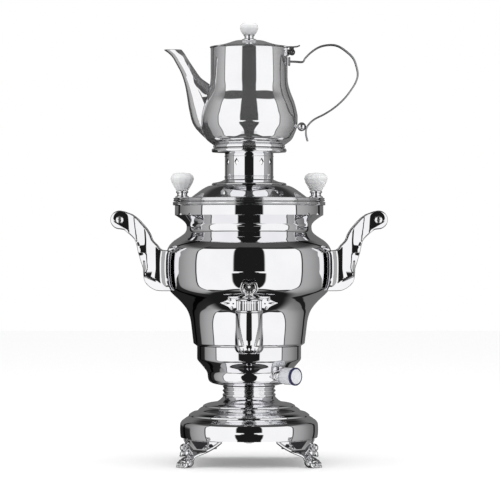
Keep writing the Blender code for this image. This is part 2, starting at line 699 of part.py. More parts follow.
def make_base(top):
    """The stepped dome, its cover plate with lugs, and the neck ring."""
    outer = base_outline() + [(BASE_TOP_RADIUS, BASE_TOP_Z), (BASE_BORE_RADIUS, BASE_TOP_Z)]
    inside = stretch(
        (BASE_RADIUS - BASE_WALL, BASE_Z), (BASE_TOP_RADIUS - BASE_WALL, BASE_TOP_Z),
        BASE_INSIDE_SHARES,
    )
    inside = [(BASE_RADIUS - BASE_WALL * 2, BASE_Z)] + inside
    outline = outer + [(BASE_BORE_RADIUS, BASE_TOP_Z - BASE_WALL)] + inside[::-1]
    piece("base_dome", turned(outline, WIDE_STEPS), CHROME, top)

    plate_radius = BASE_RADIUS - BASE_WALL * 2 - SEAT_GAP
    stud_hole = STUD_RADIUS + SEAT_GAP
    plate = piece("base_plate", turned([
        (stud_hole, BASE_Z), (plate_radius, BASE_Z),
        (plate_radius, BASE_Z + BASE_PLATE_THICKNESS), (stud_hole, BASE_Z + BASE_PLATE_THICKNESS),
    ], WIDE_STEPS), STEEL, top)
    lug_reach = BASE_RADIUS - FOOT_PLATE_THICKNESS - LUG_GAP - LUG_THICKNESS / 2
    lug_size = (LUG_THICKNESS, LUG_WIDTH, LUG_DROP + BASE_PLATE_THICKNESS / 2)
    lug_middle = (lug_reach, 0, BASE_Z - LUG_DROP + lug_size[2] / 2)
    hole = FOOT_SCREW_RADIUS + SEAT_GAP
    for index in range(FOOT_COUNT):
        spin = turn_z(foot_screw_angle(index))
        shape(plate, "UNION", box(lug_size, lug_middle), spin)
    for index in range(FOOT_COUNT):
        spin = turn_z(foot_screw_angle(index))
        near = (lug_reach - LUG_THICKNESS, 0, FOOT_SCREW_Z)
        far = (lug_reach + LUG_THICKNESS, 0, FOOT_SCREW_Z)
        shape(plate, "DIFFERENCE", rod(hole, near, far), spin)

    neck_top = NECK_Z + NECK_HEIGHT
    bead = NECK_HEIGHT / 6
    neck = [
        (BASE_BORE_RADIUS, NECK_Z), (NECK_RADIUS, NECK_Z), (NECK_RADIUS - NECK_BEAD, NECK_Z + 2 * bead),
        (NECK_RADIUS - NECK_BEAD, NECK_Z + 3 * bead), (NECK_RADIUS, NECK_Z + 4 * bead),
        (NECK_RADIUS - NECK_BEAD, neck_top), (BASE_BORE_RADIUS, neck_top),
    ]
    piece("neck_ring", turned(neck), CHROME, top)


def foot_angle(index):
    """Direction of a foot from the axis."""
    return FOOT_FIRST_ANGLE + index * math.tau / FOOT_COUNT


def foot_screw_angle(index):
    """Direction of a foot's screw, on the wing nearest to the front or back."""
    side = 1 if index % 2 == 0 else -1
    return foot_angle(index) + side * FOOT_SCREW_OFFSET


def foot_wing():
    """The curved wing that narrows to the ankle, in the foot's own direction +X."""
    drop = BASE_Z - SEAT_GAP - FOOT_ANKLE_Z
    rings = []
    for down, width, out in FOOT_ROW_SHARES:
        z = BASE_Z - SEAT_GAP - drop * down
        radius = BASE_RADIUS + (FOOT_ANKLE_RADIUS - BASE_RADIUS) * out
        half = FOOT_LEG_ANGLE + (FOOT_WING_ANGLE - FOOT_LEG_ANGLE) * width
        outer, inner = [], []
        for column in range(FOOT_COLUMNS + 1):
            angle = half * (2 * column / FOOT_COLUMNS - 1)
            for radius_here, row in ((radius, outer), (radius - FOOT_PLATE_THICKNESS, inner)):
                row.append((radius_here * math.cos(angle), radius_here * math.sin(angle), z))
        rings.append(outer + inner[::-1])
    return lofted(rings)


def make_feet(top):
    """Four cast feet: wing, ankle, leaf and a paw with toes, each with its screw."""
    names = ("rear_right", "rear_left", "front_left", "front_right")
    paw_centre = (PAW_REACH, 0, PAW_HEIGHT * PAW_MIDDLE_SHARE)
    paw_shares = (PAW_LENGTH / PAW_HEIGHT, PAW_WIDTH / PAW_HEIGHT, 1.0)
    leaf_reach = FOOT_ANKLE_RADIUS + LEAF_WIDTH / 2
    for index, name in enumerate(names):
        foot = piece("foot_" + name, foot_wing(), CHROME, top)
        foot.rotation_euler.z = foot_angle(index)
        shape(foot, "UNION", ball(PAW_HEIGHT / 2, paw_centre, paw_shares, 5, 8))
        for toe in range(TOE_COUNT):
            side = (toe + 0.5) / TOE_COUNT - 0.5
            set_back = TOE_SET_BACK_SHARE + TOE_SPREAD_SHARE * side * side
            reach = PAW_REACH + PAW_LENGTH / 2 - TOE_RADIUS * set_back
            centre = (reach, side * PAW_WIDTH, TOE_RADIUS)
            shape(foot, "UNION", ball(TOE_RADIUS, centre, TOE_STRETCH_SHARES, 4, 6))
        leaf = [(leaf_reach + LEAF_WIDTH * u, LEAF_Z + LEAF_HEIGHT * v) for u, v in LEAF_SHARES]
        shape(foot, "UNION", prism(leaf, LEAF_THICKNESS))
        floor = box((PAW_LENGTH * 3, PAW_WIDTH * 3, PAW_HEIGHT), (PAW_REACH, 0, -PAW_HEIGHT / 2))
        shape(foot, "DIFFERENCE", floor)
        screw_spin = turn_z(foot_screw_angle(index))
        beside = turn_z(foot_screw_angle(index) - foot_angle(index))
        inner = BASE_RADIUS - FOOT_PLATE_THICKNESS - SEAT_GAP - LUG_THICKNESS
        head = BASE_RADIUS + SEAT_GAP + FOOT_SCREW_HEAD
        seat = BASE_RADIUS + SEAT_GAP + FOOT_PLATE_THICKNESS * FOOT_SCREW_SEAT_SHARE
        past_head = (head + OVERRUN, 0, FOOT_SCREW_Z)
        hole = rod(FOOT_SCREW_RADIUS + SEAT_GAP, (inner, 0, FOOT_SCREW_Z), past_head)
        shape(foot, "DIFFERENCE", hole, beside)
        screw = rod(FOOT_SCREW_RADIUS, (inner, 0, FOOT_SCREW_Z), (head, 0, FOOT_SCREW_Z), PIN_STEPS)
        screw = piece("foot_screw_" + name, screw, BLACK_PLASTIC, top, screw_spin)
        cap = rod(FOOT_SCREW_HEAD_RADIUS + SEAT_GAP, (seat, 0, FOOT_SCREW_Z), (head, 0, FOOT_SCREW_Z))
        shape(screw, "UNION", cap, screw_spin)


# Heater

def housing_outline():
    """Outer side of the heater housing, from its foot to its band."""
    bowl = stretch((HOUSING_FOOT_RADIUS, HOUSING_Z), (HOUSING_RADIUS, BAND_Z), HOUSING_SHARES)
    return bowl + [(HOUSING_RADIUS, BOILER_Z - SEAT_GAP)]


def bezel_face():
    """Reach of the bezel's face, so that the knob's ring clears the bowl above it."""
    return radius_at(housing_outline(), THERMOSTAT_Z + KNOB_RING_RADIUS) + BEZEL_PROUD


def thermostat_turn(angle=THERMOSTAT_ANGLE):
    """Turns a shape that points along +Z from the origin to the thermostat's axis."""
    lay_down = Matrix.Rotation(math.pi / 2, 4, "Y")
    height = Matrix.Translation((0, 0, THERMOSTAT_Z))
    return height @ turn_z(angle - math.pi / 2) @ lay_down


def make_housing(top):
    """The bowl under the boiler, the heater, and the stud that ties the stack."""
    outer = housing_outline()
    inner = inset(outer[1:], HOUSING_WALL)
    inner = [(BASE_BORE_RADIUS, outer[0][1]), (BASE_BORE_RADIUS, inner[0][1])] + inner
    inner[-1] = (HOUSING_RADIUS - HOUSING_WALL, outer[-1][1])
    housing = piece("heater_housing", turned(outer + inner[::-1]), CHROME, top)
    shaft_hole = rod(
        THERMOSTAT_SHAFT_RADIUS + SEAT_GAP, (0, 0, THERMOSTAT_CASE_RADIUS), (0, 0, bezel_face()),
    )
    shape(housing, "DIFFERENCE", shaft_hole, thermostat_turn())
    socket = (INLET_WIDTH + 2 * SEAT_GAP, HOUSING_RADIUS, INLET_HEIGHT + 2 * SEAT_GAP)
    shape(housing, "DIFFERENCE", box(socket, (0, HOUSING_RADIUS, INLET_Z)))

    heater_top = BOILER_Z - SEAT_GAP
    rib = HEATER_RADIUS - HEATER_RIB
    heater = [
        (HEATER_BORE_RADIUS, heater_top - HEATER_THICKNESS / 2),
        (rib - HEATER_RIB * 2, heater_top - HEATER_THICKNESS / 2),
        (rib - HEATER_RIB, heater_top - HEATER_THICKNESS), (rib, heater_top - HEATER_THICKNESS),
        (HEATER_RADIUS, heater_top - HEATER_THICKNESS / 2), (HEATER_RADIUS, heater_top),
        (HEATER_BORE_RADIUS, heater_top),
    ]
    piece("heating_element", turned(heater), STEEL, top)

    stud_end = BASE_Z - STUD_END_DROP
    stud = [
        (0, stud_end), (STUD_RADIUS, stud_end), (STUD_RADIUS, heater_top - STUD_FLANGE),
        (STUD_FLANGE_RADIUS, heater_top - STUD_FLANGE), (STUD_FLANGE_RADIUS, heater_top),
        (0, heater_top),
    ]
    piece("tie_stud", turned(stud, SMALL_STEPS), STEEL, top)
    washer_top = BASE_Z - SEAT_GAP
    washer_low = washer_top - WASHER_THICKNESS
    hole = STUD_RADIUS + SEAT_GAP
    washer = [
        (hole, washer_low), (WASHER_RADIUS, washer_low), (WASHER_RADIUS, washer_top),
        (hole, washer_top),
    ]
    piece("tie_washer", turned(washer, SMALL_STEPS), STEEL, top)
    nut_top = washer_low - SEAT_GAP
    nut = rod(NUT_RADIUS, (0, 0, nut_top - NUT_HEIGHT), (0, 0, nut_top), HEX_SIDES)
    nut = piece("tie_nut", nut, STEEL, top)
    shape(nut, "DIFFERENCE", rod(hole, (0, 0, 0), (0, 0, BASE_Z)))


def make_thermostat(top):
    """The thermostat's case in the housing, its bezel outside, and the turning knob."""
    turn = thermostat_turn()
    wall_reach = HOUSING_FOOT_RADIUS + (HOUSING_RADIUS - HOUSING_FOOT_RADIUS) * THERMOSTAT_DEPTH_SHARE
    case_end = wall_reach - THERMOSTAT_CASE_GAP
    case = rod(THERMOSTAT_CASE_RADIUS, (0, 0, case_end - THERMOSTAT_CASE_LENGTH), (0, 0, case_end))
    case = piece("thermostat_case", case, BLACK_PLASTIC, top, turn)
    shaft_end = bezel_face() + KNOB_SOCKET_DEPTH
    shaft = rod(THERMOSTAT_SHAFT_RADIUS, (0, 0, case_end - OVERRUN), (0, 0, shaft_end))
    shape(case, "UNION", shaft, turn)

    bezel = rod(BEZEL_RADIUS, (0, 0, HOUSING_FOOT_RADIUS), (0, 0, bezel_face()))
    bezel = piece("thermostat_bezel", bezel, CHROME, top, turn)
    outside = [(r + SEAT_GAP, z) for r, z in housing_outline()]
    outside = [(0, outside[0][1] - OVERRUN)] + outside + [(0, outside[-1][1])]
    shape(bezel, "DIFFERENCE", turned(outside))
    hole = THERMOSTAT_SHAFT_RADIUS + SEAT_GAP
    shape(bezel, "DIFFERENCE", rod(hole, (0, 0, 0), (0, 0, bezel_face() * 2)), turn)

    axis = Vector((math.sin(THERMOSTAT_ANGLE), -math.cos(THERMOSTAT_ANGLE), 0))
    place = axis * bezel_face() + Vector((0, 0, THERMOSTAT_Z))
    spin = holder("thermostat_knob_axis", top, tuple(place))
    start = bezel_face() + SEAT_GAP
    end = start + KNOB_LENGTH
    ring_start = end - KNOB_RING_LENGTH
    inner_radius = KNOB_RADIUS - KNOB_RING_STEP
    hub = THERMOSTAT_SHAFT_RADIUS + SEAT_GAP
    socket = start + KNOB_SOCKET_DEPTH
    knob = [
        (hub, start), (KNOB_RADIUS, start), (KNOB_RADIUS, ring_start - SEAT_GAP),
        (inner_radius, ring_start - SEAT_GAP), (inner_radius, end + KNOB_FACE_PROUD),
        (0, end + KNOB_FACE_PROUD), (0, socket), (hub, socket),
    ]
    knob = fluted(turned(knob), KNOB_FLUTES, KNOB_FLUTE_DEPTH, hub)
    piece("thermostat_knob", knob, WHITE_PLASTIC, spin, turn)
    fit = inner_radius + SEAT_GAP
    ring = [
        (fit, ring_start), (KNOB_RING_RADIUS, ring_start), (KNOB_RING_RADIUS, end), (fit, end),
    ]
    piece("thermostat_knob_ring", turned(ring, SMALL_STEPS * 2), NAVY_PLASTIC, spin, turn)


def make_inlet(top):
    """The socket for the mains cord: shell, flange, recess and three pins."""
    outer_y = HOUSING_RADIUS + SEAT_GAP + INLET_FLANGE_THICKNESS
    size = (INLET_WIDTH, INLET_DEPTH, INLET_HEIGHT)
    inlet = box(size, (0, outer_y - INLET_DEPTH / 2, INLET_Z))
    inlet = piece("power_inlet", inlet, BLACK_PLASTIC, top)
    grow = 2 * INLET_FLANGE
    flange = box(
        (INLET_WIDTH + grow, INLET_FLANGE_THICKNESS, INLET_HEIGHT + grow),
        (0, outer_y - INLET_FLANGE_THICKNESS / 2, INLET_Z),
    )
    shape(inlet, "UNION", flange)
    recess = box(
        (INLET_WIDTH - 2 * INLET_WALL, INLET_SOCKET_DEPTH * 2, INLET_HEIGHT - 2 * INLET_WALL),
        (0, outer_y, INLET_Z),
    )
    shape(inlet, "DIFFERENCE", recess)
    floor_y = outer_y - INLET_SOCKET_DEPTH
    for column in (-1, 0, 1):
        pin = box(
            (INLET_PIN_SIZE, INLET_PIN_LENGTH + OVERRUN, INLET_PIN_SIZE * 2),
            (column * INLET_PIN_PITCH, floor_y + (INLET_PIN_LENGTH - OVERRUN) / 2, INLET_Z),
        )
        shape(inlet, "UNION", pin)


# Boiler

def boiler_outline():
    """Outer side of the boiler, from its foot to the top of its collar."""
    waist = stretch((WAIST_RADIUS, WAIST_Z), (BULGE_RADIUS, BULGE_Z), WAIST_SHARES)
    shoulder = stretch((BULGE_RADIUS, BULGE_Z), (THROAT_RADIUS, THROAT_Z), SHOULDER_SHARES)
    flare = stretch((THROAT_RADIUS, THROAT_Z), (COLLAR_RADIUS, COLLAR_Z), FLARE_SHARES)
    return [(BOILER_FOOT_RADIUS, BOILER_Z)] + waist + shoulder + flare


def outside_of_boiler(gap, low=None, high=None):
    """The solid that the boiler's outer side fills, grown by a gap."""
    side = [(r + gap, z) for r, z in boiler_outline()]
    low = low or BOILER_Z
    high = high or COLLAR_Z
    side = [(side[0][0], low)] + side[1:-1] + [(side[-1][0], high)]
    return turned([(0, low)] + side + [(0, high)], WIDE_STEPS)


def make_boiler(top):
    """The vessel's three drawn sections, cup, belly and collar, and the ring round its rim."""
    side = boiler_outline()
    lip = COLLAR_RADIUS - COLLAR_STEP
    floor_z = BOILER_Z + BOILER_WALL
    inner = inset(side[1:], BOILER_WALL)
    inner = [(BOILER_FOOT_RADIUS - BOILER_WALL, floor_z)] + inner
    cup_seam, collar_seam = WAIST_Z + CUP_SEAM_RISE, BULGE_Z + COLLAR_SEAM_RISE
    outline = [(0, BOILER_Z)] + between_heights(side, BOILER_Z, cup_seam)
    outline += between_heights(inner, floor_z, cup_seam)[::-1] + [(0, floor_z)]
    piece("boiler_cup", turned(outline, WIDE_STEPS), CHROME, top)

    seams = cup_seam + SEAT_GAP, collar_seam
    outline = between_heights(side, *seams) + between_heights(inner, *seams)[::-1]
    belly = piece("boiler_vessel", turned(outline, WIDE_STEPS), CHROME, top)
    hole = TAP_SHANK_RADIUS + SEAT_GAP
    inside, outside = (0, -WAIST_RADIUS, TAP_SHANK_Z), (0, -BULGE_RADIUS - OVERRUN, TAP_SHANK_Z)
    shape(belly, "DIFFERENCE", rod(hole, inside, outside))

    collar = [(COLLAR_RADIUS, LEDGE_Z), (lip, LEDGE_Z), (lip, BOILER_TOP_Z)]
    mouth = [(lip - BOILER_WALL, LEDGE_Z), (lip - BOILER_WALL, BOILER_TOP_Z)]
    outline = between_heights(side, collar_seam + SEAT_GAP, COLLAR_Z) + collar + mouth[::-1]
    outline += between_heights(inner, collar_seam + SEAT_GAP, inner[-1][1])[::-1]
    piece("boiler_collar", turned(outline, WIDE_STEPS), CHROME, top)

    fit = lip + SEAT_GAP
    ring_z = LEDGE_Z + SEAT_GAP
    edge = COLLAR_STEP / 2
    ring = [
        (fit, ring_z), (RIM_RING_RADIUS - edge, ring_z), (RIM_RING_RADIUS, ring_z + edge),
        (RIM_RING_RADIUS, ring_z + RIM_RING_HEIGHT - edge),
        (RIM_RING_RADIUS - edge, ring_z + RIM_RING_HEIGHT), (fit, ring_z + RIM_RING_HEIGHT),
    ]
    piece("rim_ring", turned(ring, WIDE_STEPS), CHROME, top)


def arm_outline():
    """Outline of a handle's cast arm in X and Z, for the side at +X."""
    start = (PAD_OUTER_RADIUS, ARM_FOOT_Z)
    end = (ARM_LOOP_REACH, LOOP_Z)
    loop = []
    for step in range(ARM_LOOP_STEPS):
        share = step / (ARM_LOOP_STEPS - 1)
        angle = ARM_LOOP_START + (ARM_LOOP_END - ARM_LOOP_START) * share
        loop.append((
            ARM_LOOP_REACH + ARM_LOOP_RADIUS * math.cos(angle),
            LOOP_Z + ARM_LOOP_RADIUS * math.sin(angle),
        ))
    return stretch(start, end, ARM_TOP_SHARES) + loop + stretch(start, end, ARM_BOTTOM_SHARES)


def make_handles(top):
    """On each side a pad on the boiler, two cast arms, the rod between and its caps."""
    for side, side_name in ((1, "right"), (-1, "left")):
        turn = turn_z(0.0 if side > 0 else math.pi)
        low, high = ARM_FOOT_Z, ARM_FOOT_Z + ARM_RISE * ARM_TOP_SHARES[0][1]
        pad = piece("handle_pad_" + side_name, outside_of_boiler(SEAT_GAP + PAD_THICKNESS), CHROME, top)
        shape(pad, "DIFFERENCE", outside_of_boiler(SEAT_GAP, BOILER_Z - OVERRUN, COLLAR_Z + OVERRUN))
        window = box(
            (BULGE_RADIUS, 2 * PAD_HALF_WIDTH, high - low),
            (BULGE_RADIUS + PAD_THICKNESS, 0, (low + high) / 2),
        )
        shape(pad, "INTERSECT", window, turn)
        for end, end_name in ((-1, "front"), (1, "rear")):
            name = end_name + "_" + side_name
            middle = Matrix.Translation((0, end * side * ARM_MIDDLE_Y, 0))
            arm = prism(arm_outline(), ARM_THICKNESS)
            arm = piece("handle_arm_" + name, arm, CHROME, top, turn @ middle)
            shape(arm, "DIFFERENCE", outside_of_boiler(
                2 * SEAT_GAP + PAD_THICKNESS, BOILER_Z - OVERRUN, COLLAR_Z + OVERRUN,
            ))
            bore = CAP_SHANK_RADIUS + SEAT_GAP
            near = (ARM_LOOP_REACH, -PAD_HALF_WIDTH * 2, LOOP_Z)
            far = (ARM_LOOP_REACH, PAD_HALF_WIDTH * 2, LOOP_Z)
            shape(arm, "DIFFERENCE", rod(bore, near, far), turn)
            face = PAD_HALF_WIDTH + SEAT_GAP
            outward = end * side
            cap = rod(
                CAP_RADIUS, (ARM_LOOP_REACH, outward * face, LOOP_Z),
                (ARM_LOOP_REACH, outward * (face + CAP_THICKNESS), LOOP_Z),
            )
            cap = piece("handle_cap_" + name, cap, CHROME, top, turn)
            root = PAD_HALF_WIDTH - ARM_THICKNESS - CAP_SHANK_DEPTH
            shank = rod(
                CAP_SHANK_RADIUS, (ARM_LOOP_REACH, outward * root, LOOP_Z),
                (ARM_LOOP_REACH, outward * (face + CAP_THICKNESS / 2), LOOP_Z), PIN_STEPS,
            )
            shape(cap, "UNION", shank, turn)
        half = PAD_HALF_WIDTH - ARM_THICKNESS - SEAT_GAP
        grip = rod(ROD_RADIUS, (ARM_LOOP_REACH, -half, LOOP_Z), (ARM_LOOP_REACH, half, LOOP_Z))
        grip = piece("handle_rod_" + side_name, grip, CHROME, top, turn)
        for end in (-1, 1):
            depth = half - CAP_SHANK_DEPTH - SEAT_GAP
            socket = rod(
                CAP_SHANK_RADIUS + SEAT_GAP, (ARM_LOOP_REACH, end * depth, LOOP_Z),
                (ARM_LOOP_REACH, end * (half + OVERRUN), LOOP_Z), PIN_STEPS,
            )
            shape(grip, "DIFFERENCE", socket, turn)


# Tap

def tap_nut_reach():
    """Reach of the nut's outer face, clear of the boiler's slanting wall."""
    wall = radius_at(boiler_outline(), TAP_SHANK_Z - TAP_NUT_RADIUS)
    return wall - BOILER_WALL - TAP_NUT_CLEARANCE


def make_tap(top):
    """The shank through the boiler wall, its nut, seal and plate, and the plug valve."""
    boiler_front = TAP_PLATE_REACH + TAP_PLATE_THICKNESS
    body_back = TAP_REACH - TAP_BODY_RADIUS
    nut_end = tap_nut_reach()
    nut_start = nut_end - TAP_NUT_THICKNESS
    shank = rod(
        TAP_SHANK_RADIUS, (0, -nut_start + TAP_SHANK_INSIDE, TAP_SHANK_Z),
        (0, -body_back - TAP_RIB_DEPTH * 2, TAP_SHANK_Z),
    )
    shank = piece("tap_shank", shank, CHROME, top)
    shape(shank, "DIFFERENCE", through_rod())
    fit = TAP_SHANK_RADIUS + SEAT_GAP
    bore = (0, 0, TAP_SHANK_Z), (0, -TAP_REACH, TAP_SHANK_Z)

    nut = rod(TAP_NUT_RADIUS, (0, -nut_start, TAP_SHANK_Z), (0, -nut_end, TAP_SHANK_Z), HEX_SIDES)
    nut = piece("tap_nut", nut, STEEL, top)
    shape(nut, "DIFFERENCE", rod(fit, *bore))

    seal = rod(TAP_SEAL_RADIUS, (0, -WAIST_RADIUS, TAP_SHANK_Z), (0, -TAP_PLATE_REACH, TAP_SHANK_Z))
    seal = piece("tap_seal", seal, SILICONE, top)
    shape(seal, "DIFFERENCE", outside_of_boiler(SEAT_GAP))
    shape(seal, "DIFFERENCE", rod(fit, *bore))

    half = [(TAP_PLATE_HALF_WIDTH * u, v * TAP_PLATE_HALF_HEIGHT) for u, v in TAP_PLATE_SHARES]
    lower = [(x, -z) for x, z in half[1:]][::-1]
    right = lower + half
    left = [(-x, z) for x, z in reversed(half[:-1])] + [(-x, z) for x, z in reversed(lower[1:])]
    outline = right + left
    plate = prism([(x, z + TAP_PLATE_Z) for x, z in outline], TAP_PLATE_THICKNESS)
    middle = Matrix.Translation((0, -TAP_PLATE_REACH - SEAT_GAP - TAP_PLATE_THICKNESS / 2, 0))
    plate = piece("tap_back_plate", plate, CHROME, top, middle)
    shape(plate, "DIFFERENCE", outside_of_boiler(SEAT_GAP))
    shape(plate, "DIFFERENCE", rod(fit, *bore))

    at_valve = Matrix.Translation((0, -TAP_REACH, 0))
    body_top = TAP_BODY_Z + TAP_BODY_HEIGHT
    edge = TAP_RIB_DEPTH * 2
    body = [
        (0, TAP_BODY_Z), (TAP_BODY_RADIUS - edge, TAP_BODY_Z), (TAP_BODY_RADIUS, TAP_BODY_Z + edge),
        (TAP_BODY_RADIUS, body_top - edge), (TAP_BODY_RADIUS - edge, body_top), (0, body_top),
    ]
    body = fluted(turned(body, TAP_STEPS), TAP_RIBS, TAP_RIB_DEPTH, TAP_PLUG_TOP_RADIUS)
    body = piece("tap_body", body, CHROME, top, at_valve)
    neck = rod(
        TAP_NECK_RADIUS, (0, -boiler_front - 2 * SEAT_GAP, TAP_SHANK_Z),
        (0, -TAP_REACH, TAP_SHANK_Z),
    )
    shape(body, "UNION", neck)
    socket_end = (0, -body_back - edge - SEAT_GAP, TAP_SHANK_Z)
    shape(body, "DIFFERENCE", rod(fit, (0, 0, TAP_SHANK_Z), socket_end))
    shape(body, "DIFFERENCE", through_rod())
    clear = TAP_PLUG_CLEARANCE
    plug_low = TAP_PLUG_TOP_RADIUS - TAP_PLUG_TAPER
    seat = [
        (0, TAP_BODY_Z - OVERRUN), (plug_low + clear, TAP_BODY_Z - OVERRUN),
        (plug_low + clear, TAP_BODY_Z), (TAP_PLUG_TOP_RADIUS + clear, body_top),
        (TAP_PLUG_TOP_RADIUS + clear, body_top + OVERRUN), (0, body_top + OVERRUN),
    ]
    shape(body, "DIFFERENCE", turned(seat, SMALL_STEPS), at_valve)

    spin = holder("tap_key_axis", top, (0, -TAP_REACH, body_top))
    key_z = body_top + TAP_KEY_NECK_HEIGHT
    plug_end = TAP_BODY_Z + SEAT_GAP
    plug = [
        (0, plug_end), (plug_low, plug_end), (TAP_PLUG_TOP_RADIUS, body_top),
        (TAP_PLUG_TOP_RADIUS, body_top + edge), (TAP_KEY_NECK_RADIUS, body_top + 2 * edge),
        (TAP_KEY_NECK_RADIUS, key_z), (0, key_z),
    ]
    key = piece("tap_key", turned(plug, SMALL_STEPS), CHROME, spin, at_valve)
    half = [(TAP_KEY_WIDTH / 2 * u, key_z - edge + TAP_KEY_HEIGHT * v) for u, v in TAP_KEY_SHARES]
    shape(key, "UNION", prism(mirrored(half), TAP_KEY_THICKNESS), at_valve)
    for side in (-1, 1):
        offset = side * TAP_KEY_HOLE_OFFSET
        rise = key_z + TAP_KEY_HOLE_RISE - edge
        hole = rod(
            TAP_KEY_HOLE_RADIUS, (offset, -TAP_KEY_WIDTH, rise), (offset, TAP_KEY_WIDTH, rise), PIN_STEPS,
        )
        shape(key, "DIFFERENCE", hole, at_valve)
    cross = rod(
        TAP_BORE_RADIUS, (-TAP_BODY_RADIUS, 0, TAP_SHANK_Z), (0, 0, TAP_SHANK_Z), 12,
    )
    shape(key, "DIFFERENCE", cross, at_valve)
    drop_top = (0, 0, TAP_SHANK_Z + TAP_BORE_RADIUS / 2)
    drop = rod(TAP_BORE_RADIUS, (0, 0, TAP_BODY_Z - OVERRUN), drop_top, SMALL_STEPS)
    shape(key, "DIFFERENCE", drop, at_valve)

    outlet_top = TAP_BODY_Z - SEAT_GAP
    outer = []
    for down, bulge in TAP_OUTLET_SHARES:
        radius = TAP_OUTLET_TOP_RADIUS + (TAP_OUTLET_RADIUS - TAP_OUTLET_TOP_RADIUS) * bulge
        outer.append((radius, outlet_top - TAP_OUTLET_LENGTH * down))
    low = outlet_top - TAP_OUTLET_LENGTH
    start_z = outer[-1][1]
    for step in range(1, TAP_OUTLET_ROUND_STEPS + 1):
        angle = step / TAP_OUTLET_ROUND_STEPS * math.pi / 2
        outer.append((
            TAP_OUTLET_MOUTH_RADIUS + (TAP_OUTLET_RADIUS - TAP_OUTLET_MOUTH_RADIUS) * math.cos(angle),
            start_z - (start_z - low) * math.sin(angle),
        ))
    outline = outer + [(TAP_OUTLET_BORE_RADIUS, low), (TAP_OUTLET_BORE_RADIUS, outlet_top)]
    outlet = fluted(turned(outline, TAP_STEPS), TAP_RIBS, TAP_RIB_DEPTH, TAP_OUTLET_BORE_RADIUS)
    piece("tap_outlet", outlet, CHROME, top, at_valve)


def through_rod():
    """The water way of the tap, from the boiler to the plug."""
    return rod(TAP_BORE_RADIUS, (0, 0, TAP_SHANK_Z), (0, -TAP_REACH, TAP_SHANK_Z), SMALL_STEPS)


# Lid, crown and tray

def ferrule_and_grip(name, spec_shares, radius, height, ferrule, place, parent):
    """A crystal grip on its chrome ferrule, standing on a lid."""
    ferrule_radius, ferrule_height = ferrule
    x, z = place
    move = Matrix.Translation((x, 0, 0))
    side = stretch((0, z), (ferrule_radius, z + ferrule_height), FERRULE_SHARES)
    outline = [(0, z)] + side + [(0, z + ferrule_height)]
    piece(name + "_ferrule", turned(outline, SMALL_STEPS), CHROME, parent, move)
    low = z + ferrule_height + SEAT_GAP
    outline = [(0, low)] + stretch((0, low), (radius, low + height), spec_shares)
    grip = turned(outline, GRIP_FACETS)
    piece(name, grip, ACRYLIC, parent, move)


def make_lid(top):
    """The domed lid with its spigot and steam opening, and the two grips on it."""
    lift = holder("boiler_lid_lift", top, (0, 0, LID_Z))
    bore = COLLAR_RADIUS - COLLAR_STEP - BOILER_WALL
    spigot = bore - LID_SPIGOT_CLEARANCE
    dome = stretch(
        (LID_DOME_RADIUS, LID_RIM_Z), (CROWN_SEAT_RADIUS, LID_RIM_Z + LID_DOME_RISE), LID_DOME_SHARES,
    )
    under = inset(dome + [(LID_OPENING_RADIUS, dome[-1][1])], LID_WALL)
    edge = LID_WALL * LID_EDGE_SHARE
    outline = [
        (spigot, LID_Z - LID_SPIGOT_DEPTH), (spigot, LID_Z), (LID_RADIUS - LID_SEAT_WIDTH, LID_Z),
        (LID_RADIUS, LID_Z + edge), (LID_RADIUS, LID_RIM_Z - edge), (LID_RADIUS - edge, LID_RIM_Z),
    ] + dome + [(LID_OPENING_RADIUS, dome[-1][1])] + under[::-1] + [
        (spigot - LID_WALL, LID_RIM_Z - LID_WALL), (spigot - LID_WALL, LID_Z - LID_SPIGOT_DEPTH),
    ]
    piece("boiler_lid", turned(outline, WIDE_STEPS), CHROME, lift)
    for side, name in ((1, "right"), (-1, "left")):
        place = (side * GRIP_OFFSET, LID_RIM_Z + SEAT_GAP)
        ferrule_and_grip(
            "lid_grip_" + name, GRIP_SHARES, GRIP_RADIUS, GRIP_HEIGHT,
            (GRIP_FERRULE_RADIUS, GRIP_FERRULE_HEIGHT), place, lift,
        )
    return lift


